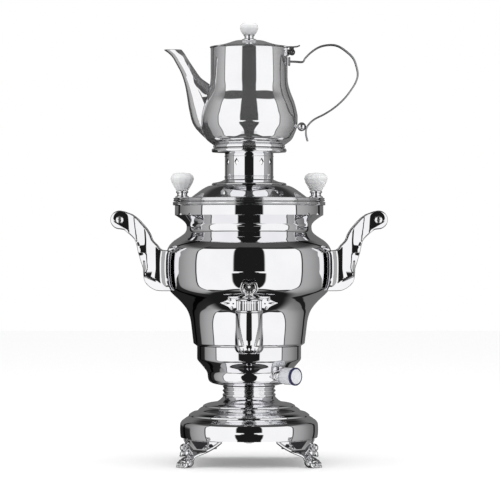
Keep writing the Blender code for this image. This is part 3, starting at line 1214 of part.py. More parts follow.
def make_crown(lid):
    """The vented chimney on the lid, and the tray for the teapot on top of it."""
    lift = holder("crown_lift", lid, (0, 0, CROWN_Z))
    skirt = stretch(
        (CROWN_SEAT_RADIUS, CROWN_Z), (CROWN_RADIUS, CROWN_Z + CROWN_SKIRT_HEIGHT), CROWN_SKIRT_SHARES,
    )
    top_z = CROWN_Z + CROWN_HEIGHT
    spigot = LID_OPENING_RADIUS - CROWN_SPIGOT_CLEARANCE
    bore = CROWN_RADIUS - CROWN_WALL
    outline = [
        (spigot - CROWN_WALL, CROWN_Z - CROWN_SPIGOT_DEPTH), (spigot, CROWN_Z - CROWN_SPIGOT_DEPTH),
        (spigot, CROWN_Z),
    ] + skirt + [
        (CROWN_RADIUS, top_z), (bore, top_z), (bore, skirt[-1][1]),
        (spigot - CROWN_WALL, CROWN_Z + CROWN_WALL),
    ]
    crown = piece("crown_shell", turned(outline), CHROME, lift)
    vent_z = top_z - VENT_DROP
    diamond = [
        (VENT_WIDTH / 2, vent_z), (0, vent_z + VENT_HEIGHT / 2),
        (-VENT_WIDTH / 2, vent_z), (0, vent_z - VENT_HEIGHT / 2),
    ]
    for centre in VENT_CENTRES:
        for step in range(-VENTS_EACH_SIDE, VENTS_EACH_SIDE + 1):
            spin = turn_z(math.radians(centre + step * VENT_PITCH))
            outward = Matrix.Translation((0, -CROWN_RADIUS, 0))
            shape(crown, "DIFFERENCE", prism(diamond, CROWN_WALL * 8), spin @ outward)

    tray_top = TRAY_Z + TRAY_THICKNESS
    fit = bore - SEAT_GAP
    tray = [
        (fit - CROWN_WALL, TRAY_Z - TRAY_SPIGOT_DEPTH), (fit, TRAY_Z - TRAY_SPIGOT_DEPTH),
        (fit, TRAY_Z), (TRAY_RADIUS - 3 * TRAY_ROLL, TRAY_Z + TRAY_ROLL / 3),
        (TRAY_RADIUS, TRAY_Z + TRAY_ROLL), (TRAY_RADIUS, tray_top - TRAY_ROLL),
        (TRAY_RADIUS - TRAY_ROLL, tray_top), (TRAY_OPENING_RADIUS, tray_top),
        (TRAY_OPENING_RADIUS, tray_top - TRAY_PLATE), (fit - CROWN_WALL, tray_top - TRAY_PLATE),
    ]
    piece("crown_tray", turned(tray), CHROME, lift)
    return lift


# Teapot

def pot_outline():
    """Outer side of the teapot, from its foot to its rim."""
    foot_z = POT_Z + POT_FOOT_HEIGHT
    bulb = stretch((POT_BASE_RADIUS, foot_z), (POT_BULB_RADIUS, POT_BULB_Z), POT_BULB_SHARES)
    neck = stretch((POT_BULB_RADIUS, POT_BULB_Z), (POT_NECK_RADIUS, POT_NECK_Z), POT_NECK_SHARES)
    foot = [
        (POT_BASE_RADIUS - POT_FOOT_CHAMFER, POT_Z), (POT_BASE_RADIUS, POT_Z + POT_FOOT_CHAMFER),
    ]
    return foot + bulb + neck + [(POT_NECK_RADIUS, POT_TOP_Z)]


def outside_of_pot(gap):
    """The solid that the teapot's outer side fills, grown by a gap."""
    side = [(r + gap, z) for r, z in pot_outline()]
    return turned([(0, side[0][1])] + side + [(0, side[-1][1])])


def spout_ring(lower, upper, width, wall):
    """Points round one section of the spout, a tapering oval with a ridge along its side."""
    low = Vector((lower[0] * SPOUT_REACH, lower[1] * SPOUT_RISE))
    high = Vector((upper[0] * SPOUT_REACH, upper[1] * SPOUT_RISE))
    middle = (low + high) / 2
    arm = (high - low) / 2
    arm = arm * max((arm.length - wall) / arm.length, 0)
    half = SPOUT_HALF_WIDTH * width - wall
    ring = []
    for side in range(SPOUT_SIDES):
        angle = side / SPOUT_SIDES * math.tau
        across = math.sin(angle)
        along = math.cos(angle)
        swell = 1.0 - SPOUT_RIDGE * along * along * abs(across)
        point = middle + arm * along
        ring.append((-point.x, half * across * swell, POT_Z + POT_FOOT_HEIGHT + point.y))
    return ring


def strap_route():
    """Middle line of the handle's strap, from its upper foot to its tail."""
    start = POT_NECK_RADIUS + SEAT_GAP + STRAP_THICKNESS / 2
    foot_share = min(u for u, v in STRAP_SHARES if v < STRAP_FOOT_SHARE)
    reach = (POT_BULB_RADIUS + STRAP_BALL_SPACE - start) / foot_share
    points = [(start + reach * u, STRAP_Z + STRAP_RISE * v) for u, v in STRAP_SHARES]
    return smooth_path(points, 2)


def make_teapot(crown):
    """The pot with its strainer holes, the hollow spout, the strap handle and its ball."""
    lift = holder("teapot_lift", crown, (0, 0, POT_Z))
    side = pot_outline()
    inner = inset(side[2:], POT_WALL)
    floor_z = POT_Z + POT_FLOOR
    inner = [(0, floor_z), (POT_BASE_RADIUS - 2 * POT_WALL, floor_z)] + inner
    inner[-1] = (POT_NECK_RADIUS - POT_WALL, POT_TOP_Z)
    outline = [(0, POT_Z)] + side + inner[::-1]
    pot = piece("teapot_body", turned(outline), CHROME, lift)
    for row in range(STRAINER_ROWS):
        for column in range(STRAINER_COLUMNS):
            y = (column - (STRAINER_COLUMNS - 1) / 2) * STRAINER_PITCH
            z = POT_Z + STRAINER_Z + (row - (STRAINER_ROWS - 1) / 2) * STRAINER_PITCH
            near, far = -POT_BULB_RADIUS + STRAINER_CUT, -POT_BULB_RADIUS - OVERRUN
            hole = rod(STRAINER_HOLE_RADIUS, (near, y, z), (far, y, z), STRAINER_HOLE_STEPS)
            shape(pot, "DIFFERENCE", hole)

    outer = [spout_ring(*section, 0.0) for section in SPOUT_SECTION_SHARES]
    spout = piece("teapot_spout", lofted(outer), CHROME, lift)
    hollow = [spout_ring(*section, SPOUT_WALL) for section in SPOUT_SECTION_SHARES]
    above = [(x, y, z + OVERRUN) for x, y, z in hollow[0]]
    shape(spout, "DIFFERENCE", lofted([above] + hollow))
    shape(spout, "DIFFERENCE", outside_of_pot(SEAT_GAP))

    route = strap_route()
    upper, lower = [], []
    for i, (x, z) in enumerate(route):
        ahead = Vector(route[min(i + 1, len(route) - 1)]) - Vector(route[max(i - 1, 0)])
        normal = Vector((-ahead.y, ahead.x)).normalized() * STRAP_THICKNESS / 2
        upper.append((x + normal.x, z + normal.y))
        lower.append((x - normal.x, z - normal.y))
    foot_x = POT_NECK_RADIUS + SEAT_GAP
    foot = [
        (foot_x, STRAP_Z - STRAP_FOOT), (foot_x, STRAP_Z + STRAP_FOOT),
        (foot_x + STRAP_THICKNESS, STRAP_Z + STRAP_FOOT),
        (foot_x + STRAP_THICKNESS, STRAP_Z - STRAP_FOOT),
    ]
    strap = piece("teapot_handle", prism(upper + lower[::-1], STRAP_WIDTH), CHROME, lift)
    shape(strap, "UNION", prism(foot, STRAP_WIDTH))
    shape(strap, "DIFFERENCE", outside_of_pot(SEAT_GAP))
    return lift


def make_handle_ball(lift):
    """The ball that holds the strap's lower bend off the pot."""
    pot_x = radius_at(pot_outline(), BALL_Z)
    bend = [(x, z) for x, z in strap_route()[::-1] if z < POT_BULB_Z]
    strap_x = radius_at(bend, BALL_Z) - STRAP_THICKNESS / 2
    radius = (strap_x - pot_x) / 2 - SEAT_GAP
    handle_ball = ball(radius, ((strap_x + pot_x) / 2, 0, BALL_Z))
    handle_ball = piece("handle_ball", handle_ball, CHROME, lift)
    shape(handle_ball, "DIFFERENCE", outside_of_pot(SEAT_GAP))


def make_pot_lid(lift):
    """The hinged lid of the teapot, its bracket and pin, and the crystal grip."""
    swing = holder("teapot_lid_axis", lift, (HINGE_REACH, 0, HINGE_Z))
    bore = POT_NECK_RADIUS - POT_WALL
    spigot = bore - POT_LID_SPIGOT_CLEARANCE
    rim_z = POT_LID_Z + POT_LID_RIM
    cone = stretch((POT_LID_RADIUS, rim_z), (0, POT_LID_TOP_Z), POT_LID_SHARES)
    under = inset(cone, POT_LID_WALL)
    under = [(r, z) for r, z in under if r < spigot - 2 * POT_LID_WALL]
    under[-1] = (0, POT_LID_TOP_Z - POT_LID_WALL)
    edge = POT_LID_RIM / 2
    tip = spigot - POT_LID_SPIGOT_TAPER
    inside = tip - POT_LID_WALL * POT_LID_SPIGOT_WALL_SHARE
    outline = [
        (inside, POT_LID_Z - POT_LID_SPIGOT_DEPTH),
        (tip, POT_LID_Z - POT_LID_SPIGOT_DEPTH), (spigot, POT_LID_Z),
        (POT_LID_RADIUS - edge, POT_LID_Z), (POT_LID_RADIUS, POT_LID_Z + edge),
    ] + cone + under[::-1] + [(inside, POT_LID_Z)]
    lid = piece("teapot_lid", turned(outline), CHROME, swing)
    width = 2 * KNUCKLE_HALF_WIDTH
    near, far = HINGE_REACH - KNUCKLE_RADIUS, HINGE_REACH + KNUCKLE_RADIUS * THUMB_ROOT_SHARE
    leaf_top = rim_z + THUMB_THICKNESS / 3
    bend_x = far + THUMB_REACH * THUMB_BEND_SHARES[0]
    bend_z = leaf_top + THUMB_RISE * THUMB_BEND_SHARES[1]
    leaf = [
        (POT_LID_RADIUS - 2 * POT_LID_RIM, POT_LID_Z + edge / 2), (near, POT_LID_Z + edge / 2),
        (near, HINGE_Z), (far, HINGE_Z), (far, leaf_top - THUMB_THICKNESS),
        (bend_x, bend_z - THUMB_THICKNESS),
        (far + THUMB_REACH, leaf_top - THUMB_THICKNESS + THUMB_RISE),
        (far + THUMB_REACH, leaf_top + THUMB_RISE), (bend_x, bend_z),
        (far, leaf_top), (POT_LID_RADIUS - 2 * POT_LID_RIM, leaf_top),
    ]
    shape(lid, "UNION", prism(leaf, width))
    ends = (HINGE_REACH, -KNUCKLE_HALF_WIDTH, HINGE_Z), (HINGE_REACH, KNUCKLE_HALF_WIDTH, HINGE_Z)
    shape(lid, "UNION", rod(KNUCKLE_RADIUS, *ends))
    long_ends = (HINGE_REACH, -POT_NECK_RADIUS, HINGE_Z), (HINGE_REACH, POT_NECK_RADIUS, HINGE_Z)
    shape(lid, "DIFFERENCE", rod(HINGE_PIN_RADIUS + SEAT_GAP, *long_ends, PIN_STEPS))

    ear_in = KNUCKLE_HALF_WIDTH + HINGE_SIDE_GAP
    ear_out = ear_in + EAR_THICKNESS
    wall_x = POT_NECK_RADIUS + SEAT_GAP
    back = wall_x + (near - wall_x) * BRACKET_BACK_SHARE
    root = POT_NECK_RADIUS - BRACKET_ROOT
    height = 2 * KNUCKLE_RADIUS
    bracket = box((back - root, 2 * ear_out, height), ((back + root) / 2, 0, HINGE_Z - SEAT_GAP))
    bracket = piece("hinge_bracket", bracket, CHROME, lift)
    for side in (-1, 1):
        middle_y = side * (ear_in + ear_out) / 2
        arm_size = (HINGE_REACH - root, EAR_THICKNESS, height * BRACKET_ARM_SHARE)
        arm = box(arm_size, ((HINGE_REACH + root) / 2, middle_y, HINGE_Z))
        shape(bracket, "UNION", arm)
        shape(bracket, "UNION", rod(
            KNUCKLE_RADIUS, (HINGE_REACH, side * ear_in, HINGE_Z), (HINGE_REACH, side * ear_out, HINGE_Z),
        ))
    shape(bracket, "DIFFERENCE", outside_of_pot(SEAT_GAP))
    shape(bracket, "DIFFERENCE", rod(HINGE_PIN_RADIUS + SEAT_GAP, *long_ends, PIN_STEPS))
    pin_half = ear_out + SEAT_GAP
    pin = rod(
        HINGE_PIN_RADIUS, (HINGE_REACH, -pin_half, HINGE_Z), (HINGE_REACH, pin_half, HINGE_Z), PIN_STEPS,
    )
    piece("hinge_pin", pin, STEEL, lift)

    ferrule_and_grip(
        "teapot_grip", POT_GRIP_SHARES, POT_GRIP_RADIUS, POT_GRIP_HEIGHT,
        (POT_FERRULE_RADIUS, POT_FERRULE_HEIGHT), (0, POT_LID_TOP_Z + SEAT_GAP), swing,
    )


def main():
    """Clears the scene and builds the samovar."""
    for obj in list(bpy.data.objects):
        bpy.data.objects.remove(obj)
    top = holder("samovar_axis")
    top.location = (0, AXIS_Y, 0)
    make_base(top)
    make_feet(top)
    make_housing(top)
    make_thermostat(top)
    make_inlet(top)
    make_boiler(top)
    make_handles(top)
    make_tap(top)
    lid = make_lid(top)
    crown = make_crown(lid)
    pot = make_teapot(crown)
    make_handle_ball(pot)
    make_pot_lid(pot)


main()
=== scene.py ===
"""Looks of the electric table samovar and its teapot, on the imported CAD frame.

Sizes are in metres in the samovar's own frame: its axis is X = 0, Y = 0, +Z is up and
the tap faces -Y. Every finished piece is moved by AXIS_Y into the frame of the CAD.
"""

import json
import logging
import math
from collections.abc import Callable, Iterator, Sequence
from contextlib import contextmanager
from dataclasses import dataclass
from enum import Enum

import bmesh
import bpy
from mathutils import Matrix, Vector

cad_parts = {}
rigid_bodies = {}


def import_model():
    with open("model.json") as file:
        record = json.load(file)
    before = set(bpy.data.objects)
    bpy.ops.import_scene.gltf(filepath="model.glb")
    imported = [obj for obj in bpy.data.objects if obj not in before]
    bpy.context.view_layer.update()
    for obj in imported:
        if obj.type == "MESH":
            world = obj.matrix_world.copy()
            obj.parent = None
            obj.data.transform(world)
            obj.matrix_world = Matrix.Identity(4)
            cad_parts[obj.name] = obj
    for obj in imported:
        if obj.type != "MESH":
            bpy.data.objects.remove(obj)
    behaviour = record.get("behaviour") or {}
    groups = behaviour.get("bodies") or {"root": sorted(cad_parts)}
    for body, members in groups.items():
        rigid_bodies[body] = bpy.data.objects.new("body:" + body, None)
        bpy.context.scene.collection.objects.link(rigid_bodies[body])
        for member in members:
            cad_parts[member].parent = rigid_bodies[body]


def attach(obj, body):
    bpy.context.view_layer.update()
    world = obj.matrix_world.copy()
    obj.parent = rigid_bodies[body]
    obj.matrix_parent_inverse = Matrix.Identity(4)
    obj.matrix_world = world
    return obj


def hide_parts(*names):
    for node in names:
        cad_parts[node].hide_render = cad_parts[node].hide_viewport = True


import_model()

LOG = logging.getLogger("samovar")
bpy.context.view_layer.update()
MM = 0.001
AXIS_Y = 14.45 * MM
GAP = 0.3 * MM
WELD = 0.002 * MM
FINE = 144
ROUND = 96
SMALL = 48
SMOOTH_ANGLE = math.radians(38.0)

Pair = tuple[float, float]
Triple = tuple[float, float, float]


class Body(str, Enum):
    """The bodies of the CAD frame that pieces ride on."""

    SAMOVAR = "samovar"
    LID = "boiler_lid_body"
    CROWN = "crown_body"
    POT = "teapot"
    POT_LID = "teapot_lid_body"
    KEY = "tap_key_body"
    KNOB = "thermostat_knob_body"


class Slot(str, Enum):
    """The material slots of the record."""

    CHROME = "chrome"
    STEEL = "steel"
    ACRYLIC = "acrylic"
    WHITE = "white_plastic"
    BLACK = "black_plastic"
    NAVY = "navy_plastic"
    SILICONE = "silicone"


# Outlines

def between(start: Pair, end: Pair, shares: Sequence[Pair]) -> list[Pair]:
    """Points between two stations.

    Args:
        start: First station, radius or X and height.
        end: Last station.
        shares: Shares of the way in each direction.

    Returns:
        The points.
    """
    return [
        (start[0] + (end[0] - start[0]) * u, start[1] + (end[1] - start[1]) * v)
        for u, v in shares
    ]


def curved(points: Sequence[Sequence[float]], steps: int = 5) -> list[tuple[float, ...]]:
    """A smooth line through points.

    Args:
        points: Points in two or three dimensions.
        steps: Points made for each span.

    Returns:
        Points on a Catmull-Rom curve, both ends included.
    """
    made: list[tuple[float, ...]] = []
    last = len(points) - 1
    for i in range(last):
        p0, p1 = Vector(points[max(i - 1, 0)]), Vector(points[i])
        p2, p3 = Vector(points[i + 1]), Vector(points[min(i + 2, last)])
        for step in range(steps):
            t = step / steps
            point = p1 * 2 + (p2 - p0) * t
            point += (p0 * 2 - p1 * 5 + p2 * 4 - p3) * t * t
            point += (p1 * 3 - p0 - p2 * 3 + p3) * t * t * t
            made.append(tuple(point / 2))
    made.append(tuple(points[last]))
    return made


def eased(points: Sequence[Pair], radius: float, steps: int = 3) -> list[Pair]:
    """An open outline whose inner corners are rounded.

    Args:
        points: The outline's corners.
        radius: How far from a corner its rounding starts.
        steps: Spans in each rounding.

    Returns:
        The rounded outline, with its two ends where they were.
    """
    made = [tuple(points[0])]
    for before, here, after in zip(points, points[1:], points[2:]):
        corner = Vector(here)
        back, ahead = Vector(before) - corner, Vector(after) - corner
        reach = min(radius, back.length * 0.45, ahead.length * 0.45)
        start = corner + back.normalized() * reach
        end = corner + ahead.normalized() * reach
        for step in range(steps + 1):
            t = step / steps
            point = start * (1 - t) ** 2 + corner * 2 * t * (1 - t) + end * t * t
            made.append(tuple(point))
    made.append(tuple(points[-1]))
    return made


def inward(points: Sequence[Pair], wall: float) -> list[Pair]:
    """An upward outline moved to the inner side of its wall.

    Args:
        points: The outer side, from its lowest point up.
        wall: Thickness of the wall.

    Returns:
        The inner side, from its lowest point up.
    """
    made = []
    last = len(points) - 1
    for i, (radius, height) in enumerate(points):
        along = Vector(points[min(i + 1, last)]) - Vector(points[max(i - 1, 0)])
        normal = Vector((-along.y, along.x)).normalized()
        made.append((max(radius + normal.x * wall, 0.0), height + normal.y * wall))
    return made


def radius_at(outline: Sequence[Pair], height: float) -> float:
    """Where an upward outline is at a height."""
    for (r0, z0), (r1, z1) in zip(outline, outline[1:]):
        if z0 <= height <= z1:
            return r0 + (r1 - r0) * (height - z0) / (z1 - z0)
    return outline[-1][0]


# Bench: short runs of the editor's own tools

def set_down() -> None:
    """Deselects every object."""
    bpy.ops.object.select_all(action="DESELECT")


def take_up(obj: bpy.types.Object) -> None:
    """Makes an object the only selected one and the active one."""
    set_down()
    obj.select_set(True)
    bpy.context.view_layer.objects.active = obj


@contextmanager
def editing(obj: bpy.types.Object, mode: str = "VERT") -> Iterator[bpy.types.Object]:
    """Edit mode on one object, with nothing selected in it.

    Args:
        obj: The object to edit.
        mode: VERT, EDGE or FACE.

    Yields:
        The same object.
    """
    take_up(obj)
    bpy.ops.object.mode_set(mode="EDIT")
    bpy.ops.mesh.select_mode(type=mode)
    bpy.ops.mesh.select_all(action="DESELECT")
    yield obj
    bpy.ops.object.mode_set(mode="OBJECT")


def pick_faces(obj: bpy.types.Object, test: Callable[[bmesh.types.BMFace], bool]) -> None:
    """Selects the faces that a test takes, in edit mode.

    Args:
        obj: The object in edit mode.
        test: Says whether a face is taken.
    """
    mesh = bmesh.from_edit_mesh(obj.data)
    for face in mesh.faces:
        face.select = test(face)
    mesh.select_flush_mode()
    bmesh.update_edit_mesh(obj.data)


def single_point(name: str, place: Triple) -> bpy.types.Object:
    """A new mesh of one point, shrunk from a plane.

    Args:
        name: Name of the object.
        place: Where the point is.

    Returns:
        The object, left in edit mode with its point selected.
    """
    set_down()
    bpy.ops.mesh.primitive_plane_add(size=MM, location=(0, 0, 0))
    obj = bpy.context.object
    obj.name = name
    bpy.ops.object.mode_set(mode="EDIT")
    bpy.ops.mesh.select_mode(type="VERT")
    bpy.ops.mesh.select_all(action="SELECT")
    bpy.ops.mesh.merge(type="CENTER")
    bpy.ops.transform.translate(value=place)
    return obj


def spun(name: str, outline: Sequence[Pair], steps: int = ROUND, closed: bool = True) -> bpy.types.Object:
    """A turned shape about the Z axis.

    Args:
        name: Name of the object.
        outline: Radius and height of each point, outer side upward first.
        steps: Facets round the axis.
        closed: True joins the last point to the first.

    Returns:
        The object.
    """
    points = [tuple(outline[0])]
    for point in outline[1:]:
        if math.dist(point, points[-1]) > WELD * 2:
            points.append(tuple(point))
    if closed:
        points.append(points[0])
    obj = single_point(name, (points[0][0], 0.0, points[0][1]))
    for (r0, z0), (r1, z1) in zip(points, points[1:]):
        bpy.ops.mesh.extrude_vertices_move(TRANSFORM_OT_translate={"value": (r1 - r0, 0.0, z1 - z0)})
    bpy.ops.mesh.select_all(action="SELECT")
    bpy.ops.mesh.spin(steps=steps, angle=math.tau, center=(0, 0, 0), axis=(0, 0, 1))
    bpy.ops.mesh.select_all(action="SELECT")
    bpy.ops.mesh.remove_doubles(threshold=WELD)
    bpy.ops.mesh.delete_loose()
    bpy.ops.mesh.select_all(action="SELECT")
    bpy.ops.mesh.normals_make_consistent(inside=False)
    bpy.ops.object.mode_set(mode="OBJECT")
    return obj


def cut_sheet(name: str, outline: Sequence[Pair], depth: float) -> bpy.types.Object:
    """A plate cut to an outline in X and Z, centred on Y = 0.

    Args:
        name: Name of the object.
        outline: Closed outline, without its first point again.
        depth: Thickness along Y.

    Returns:
        The object.
    """
    obj = single_point(name, (outline[0][0], -depth / 2, outline[0][1]))
    for (x0, z0), (x1, z1) in zip(outline, outline[1:]):
        bpy.ops.mesh.extrude_vertices_move(TRANSFORM_OT_translate={"value": (x1 - x0, 0.0, z1 - z0)})
    bpy.ops.mesh.select_all(action="SELECT")
    bpy.ops.mesh.edge_face_add()
    bpy.ops.mesh.extrude_region_move(TRANSFORM_OT_translate={"value": (0.0, depth, 0.0)})
    bpy.ops.mesh.select_all(action="SELECT")
    bpy.ops.mesh.normals_make_consistent(inside=False)
    bpy.ops.object.mode_set(mode="OBJECT")
    return obj


def lofted(name: str, rings: Sequence[Sequence[Triple]], wrapped: bool = True, capped: bool = True) -> bpy.types.Object:
    """A grid whose rows are drawn onto rings of points.

    Args:
        name: Name of the object.
        rings: Rows of points, each row with as many.
        wrapped: True closes each row on itself.
        capped: True fills the open ends.

    Returns:
        The object.
    """
    rows, count = len(rings), len(rings[0])
    columns = count if wrapped else count - 1
    set_down()
    bpy.ops.mesh.primitive_grid_add(x_subdivisions=columns, y_subdivisions=rows - 1, size=1.0)
    obj = bpy.context.object
    obj.name = name
    order = sorted(obj.data.vertices, key=lambda v: (round(v.co.y, 5), round(v.co.x, 5)))
    for index, vertex in enumerate(order):
        row, column = divmod(index, columns + 1)
        vertex.co = rings[row][column % count]
    with editing(obj):
        bpy.ops.mesh.select_all(action="SELECT")
        bpy.ops.mesh.remove_doubles(threshold=WELD)
        if capped:
            bpy.ops.mesh.select_all(action="SELECT")
            bpy.ops.mesh.fill_holes(sides=0)
        bpy.ops.mesh.select_all(action="SELECT")
        bpy.ops.mesh.normals_make_consistent(inside=False)
    return obj


def cylinder(name: str, radius: float, start: Triple, end: Triple, sides: int = SMALL) -> bpy.types.Object:
    """A straight rod between two points.

    Args:
        name: Name of the object.
        radius: Its radius.
        start: Middle of one end.
        end: Middle of the other.
        sides: Facets round it.

    Returns:
        The object, with its place in its mesh.
    """
    a, b = Vector(start), Vector(end)
    set_down()
    bpy.ops.mesh.primitive_cylinder_add(
        vertices=sides, radius=radius, depth=(b - a).length, location=(a + b) / 2,
        rotation=(b - a).to_track_quat("Z", "Y").to_euler(),
    )
    obj = bpy.context.object
    obj.name = name
    return settled(obj)


def block(name: str, size: Triple, centre: Triple) -> bpy.types.Object:
    """A block of a size round a centre, with its place in its mesh."""
    set_down()
    bpy.ops.mesh.primitive_cube_add(size=1.0, location=centre, scale=size)
    obj = bpy.context.object
    obj.name = name
    return settled(obj)


def globe(name: str, radius: float, centre: Triple, stretch: Triple = (1, 1, 1), sides: int = 32) -> bpy.types.Object:
    """A ball or egg.

    Args:
        name: Name of the object.
        radius: Radius before it is stretched.
        centre: Its middle.
        stretch: Factors along X, Y and Z.
        sides: Facets round it.

    Returns:
        The object, with its place in its mesh.
    """
    set_down()
    bpy.ops.mesh.primitive_uv_sphere_add(
        segments=sides, ring_count=sides // 2, radius=radius, location=centre, scale=stretch,
    )
    obj = bpy.context.object
    obj.name = name
    return settled(obj)


def tube(name: str, route: Sequence[Vector], sizes: Sequence[float], sides: int = 16) -> bpy.types.Object:
    """A round bar that follows a route, with its ends closed.

    Args:
        name: Name of the object.
        route: Points of its middle line.
        sizes: Its radius at each point.
        sides: Facets round it.

    Returns:
        The object.
    """
    rings = []
    last = len(route) - 1
    across = None
    for i, point in enumerate(route):
        along = (route[min(i + 1, last)] - route[max(i - 1, 0)]).normalized()
        if across is None:
            across = along.orthogonal().normalized()
        across = (across - along * across.dot(along)).normalized()
        other = along.cross(across)
        rings.append([
            tuple(point + (across * math.cos(a) + other * math.sin(a)) * sizes[i])
            for a in (step / sides * math.tau for step in range(sides))
        ])
    return lofted(name, rings)


def settled(obj: bpy.types.Object) -> bpy.types.Object:
    """The object with its place, turn and size moved into its mesh."""
    take_up(obj)
    bpy.ops.object.transform_apply(location=True, rotation=True, scale=True)
    return obj


def placed(obj: bpy.types.Object, matrix: Matrix) -> bpy.types.Object:
    """The object with its mesh moved by a matrix."""
    obj.data.transform(matrix)
    if matrix.determinant() < 0:
        obj.data.flip_normals()
    return obj


def moved(obj: bpy.types.Object, rule: Callable[[Vector], Vector]) -> bpy.types.Object:
    """The object with each point of its mesh moved by a rule."""
    for vertex in obj.data.vertices:
        vertex.co = rule(vertex.co.copy())
    obj.data.update()
    return obj


def copied(obj: bpy.types.Object, name: str) -> bpy.types.Object:
    """A copy of an object with its own mesh."""
    take_up(obj)
    bpy.ops.object.duplicate(linked=False)
    twin = bpy.context.object
    twin.name = name
    return twin


def worked(obj: bpy.types.Object, kind: str, **settings: object) -> bpy.types.Object:
    """The object after one modifier is added, set and applied.

    Args:
        obj: The object.
        kind: Type of the modifier.
        **settings: Values of the modifier.

    Returns:
        The object.
    """
    take_up(obj)
    bpy.ops.object.modifier_add(type=kind)
    step = obj.modifiers[-1]
    for key, value in settings.items():
        setattr(step, key, value)
    bpy.ops.object.modifier_apply(modifier=step.name)
    return obj


def softened(obj: bpy.types.Object, width: float, segments: int = 2, angle: float = 40.0) -> bpy.types.Object:
    """The object with its sharp edges bevelled."""
    return worked(
        obj, "BEVEL", width=width, segments=segments, limit_method="ANGLE",
        angle_limit=math.radians(angle), use_clamp_overlap=True,
    )


def combined(obj: bpy.types.Object, tool: bpy.types.Object, operation: str = "DIFFERENCE") -> bpy.types.Object:
    """The object after a tool shape is cut from it, joined to it or kept of it.

    Args:
        obj: The object.
        tool: The other shape, which is used up.
        operation: DIFFERENCE, UNION or INTERSECT.

    Returns:
        The object.
    """
    worked(obj, "BOOLEAN", operation=operation, object=tool, solver="EXACT")
    bpy.data.objects.remove(tool)
    return obj


def gathered(name: str, objects: Sequence[bpy.types.Object]) -> bpy.types.Object:
    """Several meshes joined into one object."""
    take_up(objects[0])
    for obj in objects:
        obj.select_set(True)
    bpy.ops.object.join()
    made = bpy.context.object
    made.name = name
    return made


def cast_in_one(obj: bpy.types.Object, voxel: float, rounds: int = 4) -> bpy.types.Object:
    """Overlapping solids melted into one smooth casting.

    Args:
        obj: The joined solids.
        voxel: Size of the remesh.
        rounds: Smoothing passes after it.

    Returns:
        The object.
    """
    worked(obj, "REMESH", mode="VOXEL", voxel_size=voxel)
    return worked(obj, "SMOOTH", factor=0.5, iterations=rounds)


def finished(
    obj: bpy.types.Object, body: Body, slot: Slot, nodes: Sequence[str], angle: float = SMOOTH_ANGLE,
    finish: "Finish | None" = None,
) -> bpy.types.Object:
    """Puts a piece in the CAD's frame, dresses it and hides the CAD nodes that it replaces.

    Args:
        obj: The piece, in the samovar's own frame.
        body: The body it rides on.
        slot: The finish it takes.
        nodes: The CAD nodes that it replaces.
        angle: Edges sharper than this stay sharp.
        finish: Its own finish, where it isn't the slot's.

    Returns:
        The piece.
    """
    settled(obj)
    placed(obj, Matrix.Translation((0, AXIS_Y, 0)))
    take_up(obj)
    bpy.ops.object.shade_smooth_by_angle(angle=angle)
    obj.data.materials.clear()
    obj.data.materials.append((finish or FINISHES[slot]).material())
    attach(obj, body.value)
    if nodes:
        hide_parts(*nodes)
    LOG.info("%s: %d faces on %s", obj.name, len(obj.data.polygons), body.value)
    return obj


# Finishes

class Wiring:
    """A node tree with short calls to add and join its nodes."""

    def __init__(self, tree: bpy.types.NodeTree) -> None:
        """Keeps the tree."""
        self.tree = tree

    def add(self, kind: str, **settings: object) -> bpy.types.Node:
        """A new node with its settings."""
        node = self.tree.nodes.new(kind)
        for key, value in settings.items():
            setattr(node, key, value)
        return node

    def join(self, source: object, target: bpy.types.NodeSocket) -> None:
        """Feeds a socket from another one, or sets it to a number."""
        if isinstance(source, bpy.types.NodeSocket):
            self.tree.links.new(source, target)
        else:
            target.default_value = source

    def sum(self, operation: str, *terms: object, clamp: bool = False) -> bpy.types.NodeSocket:
        """The result of a Math node.

        Args:
            operation: The Math node's operation.
            *terms: Numbers or sockets.
            clamp: True keeps the result from 0 to 1.

        Returns:
            The node's output.
        """
        node = self.add("ShaderNodeMath", operation=operation, use_clamp=clamp)
        for term, socket in zip(terms, node.inputs):
            self.join(term, socket)
        return node.outputs[0]

    def step(self, value: object, low: float, high: float) -> bpy.types.NodeSocket:
        """A smooth rise from 0 at low to 1 at high, or a fall where low is the larger."""
        node = self.add("ShaderNodeMapRange", interpolation_type="SMOOTHSTEP")
        self.join(value, node.inputs["Value"])
        turned_round = low > high
        node.inputs["From Min"].default_value = min(low, high)
        node.inputs["From Max"].default_value = max(low, high)
        node.inputs["To Min"].default_value = 1.0 if turned_round else 0.0
        node.inputs["To Max"].default_value = 0.0 if turned_round else 1.0
        return node.outputs["Result"]

    def blend(self, share: object, first: object, second: object) -> bpy.types.NodeSocket:
        """A mix of two numbers."""
        node = self.add("ShaderNodeMix", data_type="FLOAT")
        for source, socket in zip((share, first, second), (node.inputs[0], node.inputs[2], node.inputs[3])):
            self.join(source, socket)
        return node.outputs[0]

    def tint(self, share: object, first: object, second: object) -> bpy.types.NodeSocket:
        """A mix of two colours."""
        node = self.add("ShaderNodeMix", data_type="RGBA")
        for source, socket in zip((share, first, second), (node.inputs[0], node.inputs[6], node.inputs[7])):
            if isinstance(source, tuple):
                socket.default_value = (*source, 1.0)
            else:
                self.join(source, socket)
        return node.outputs[2]


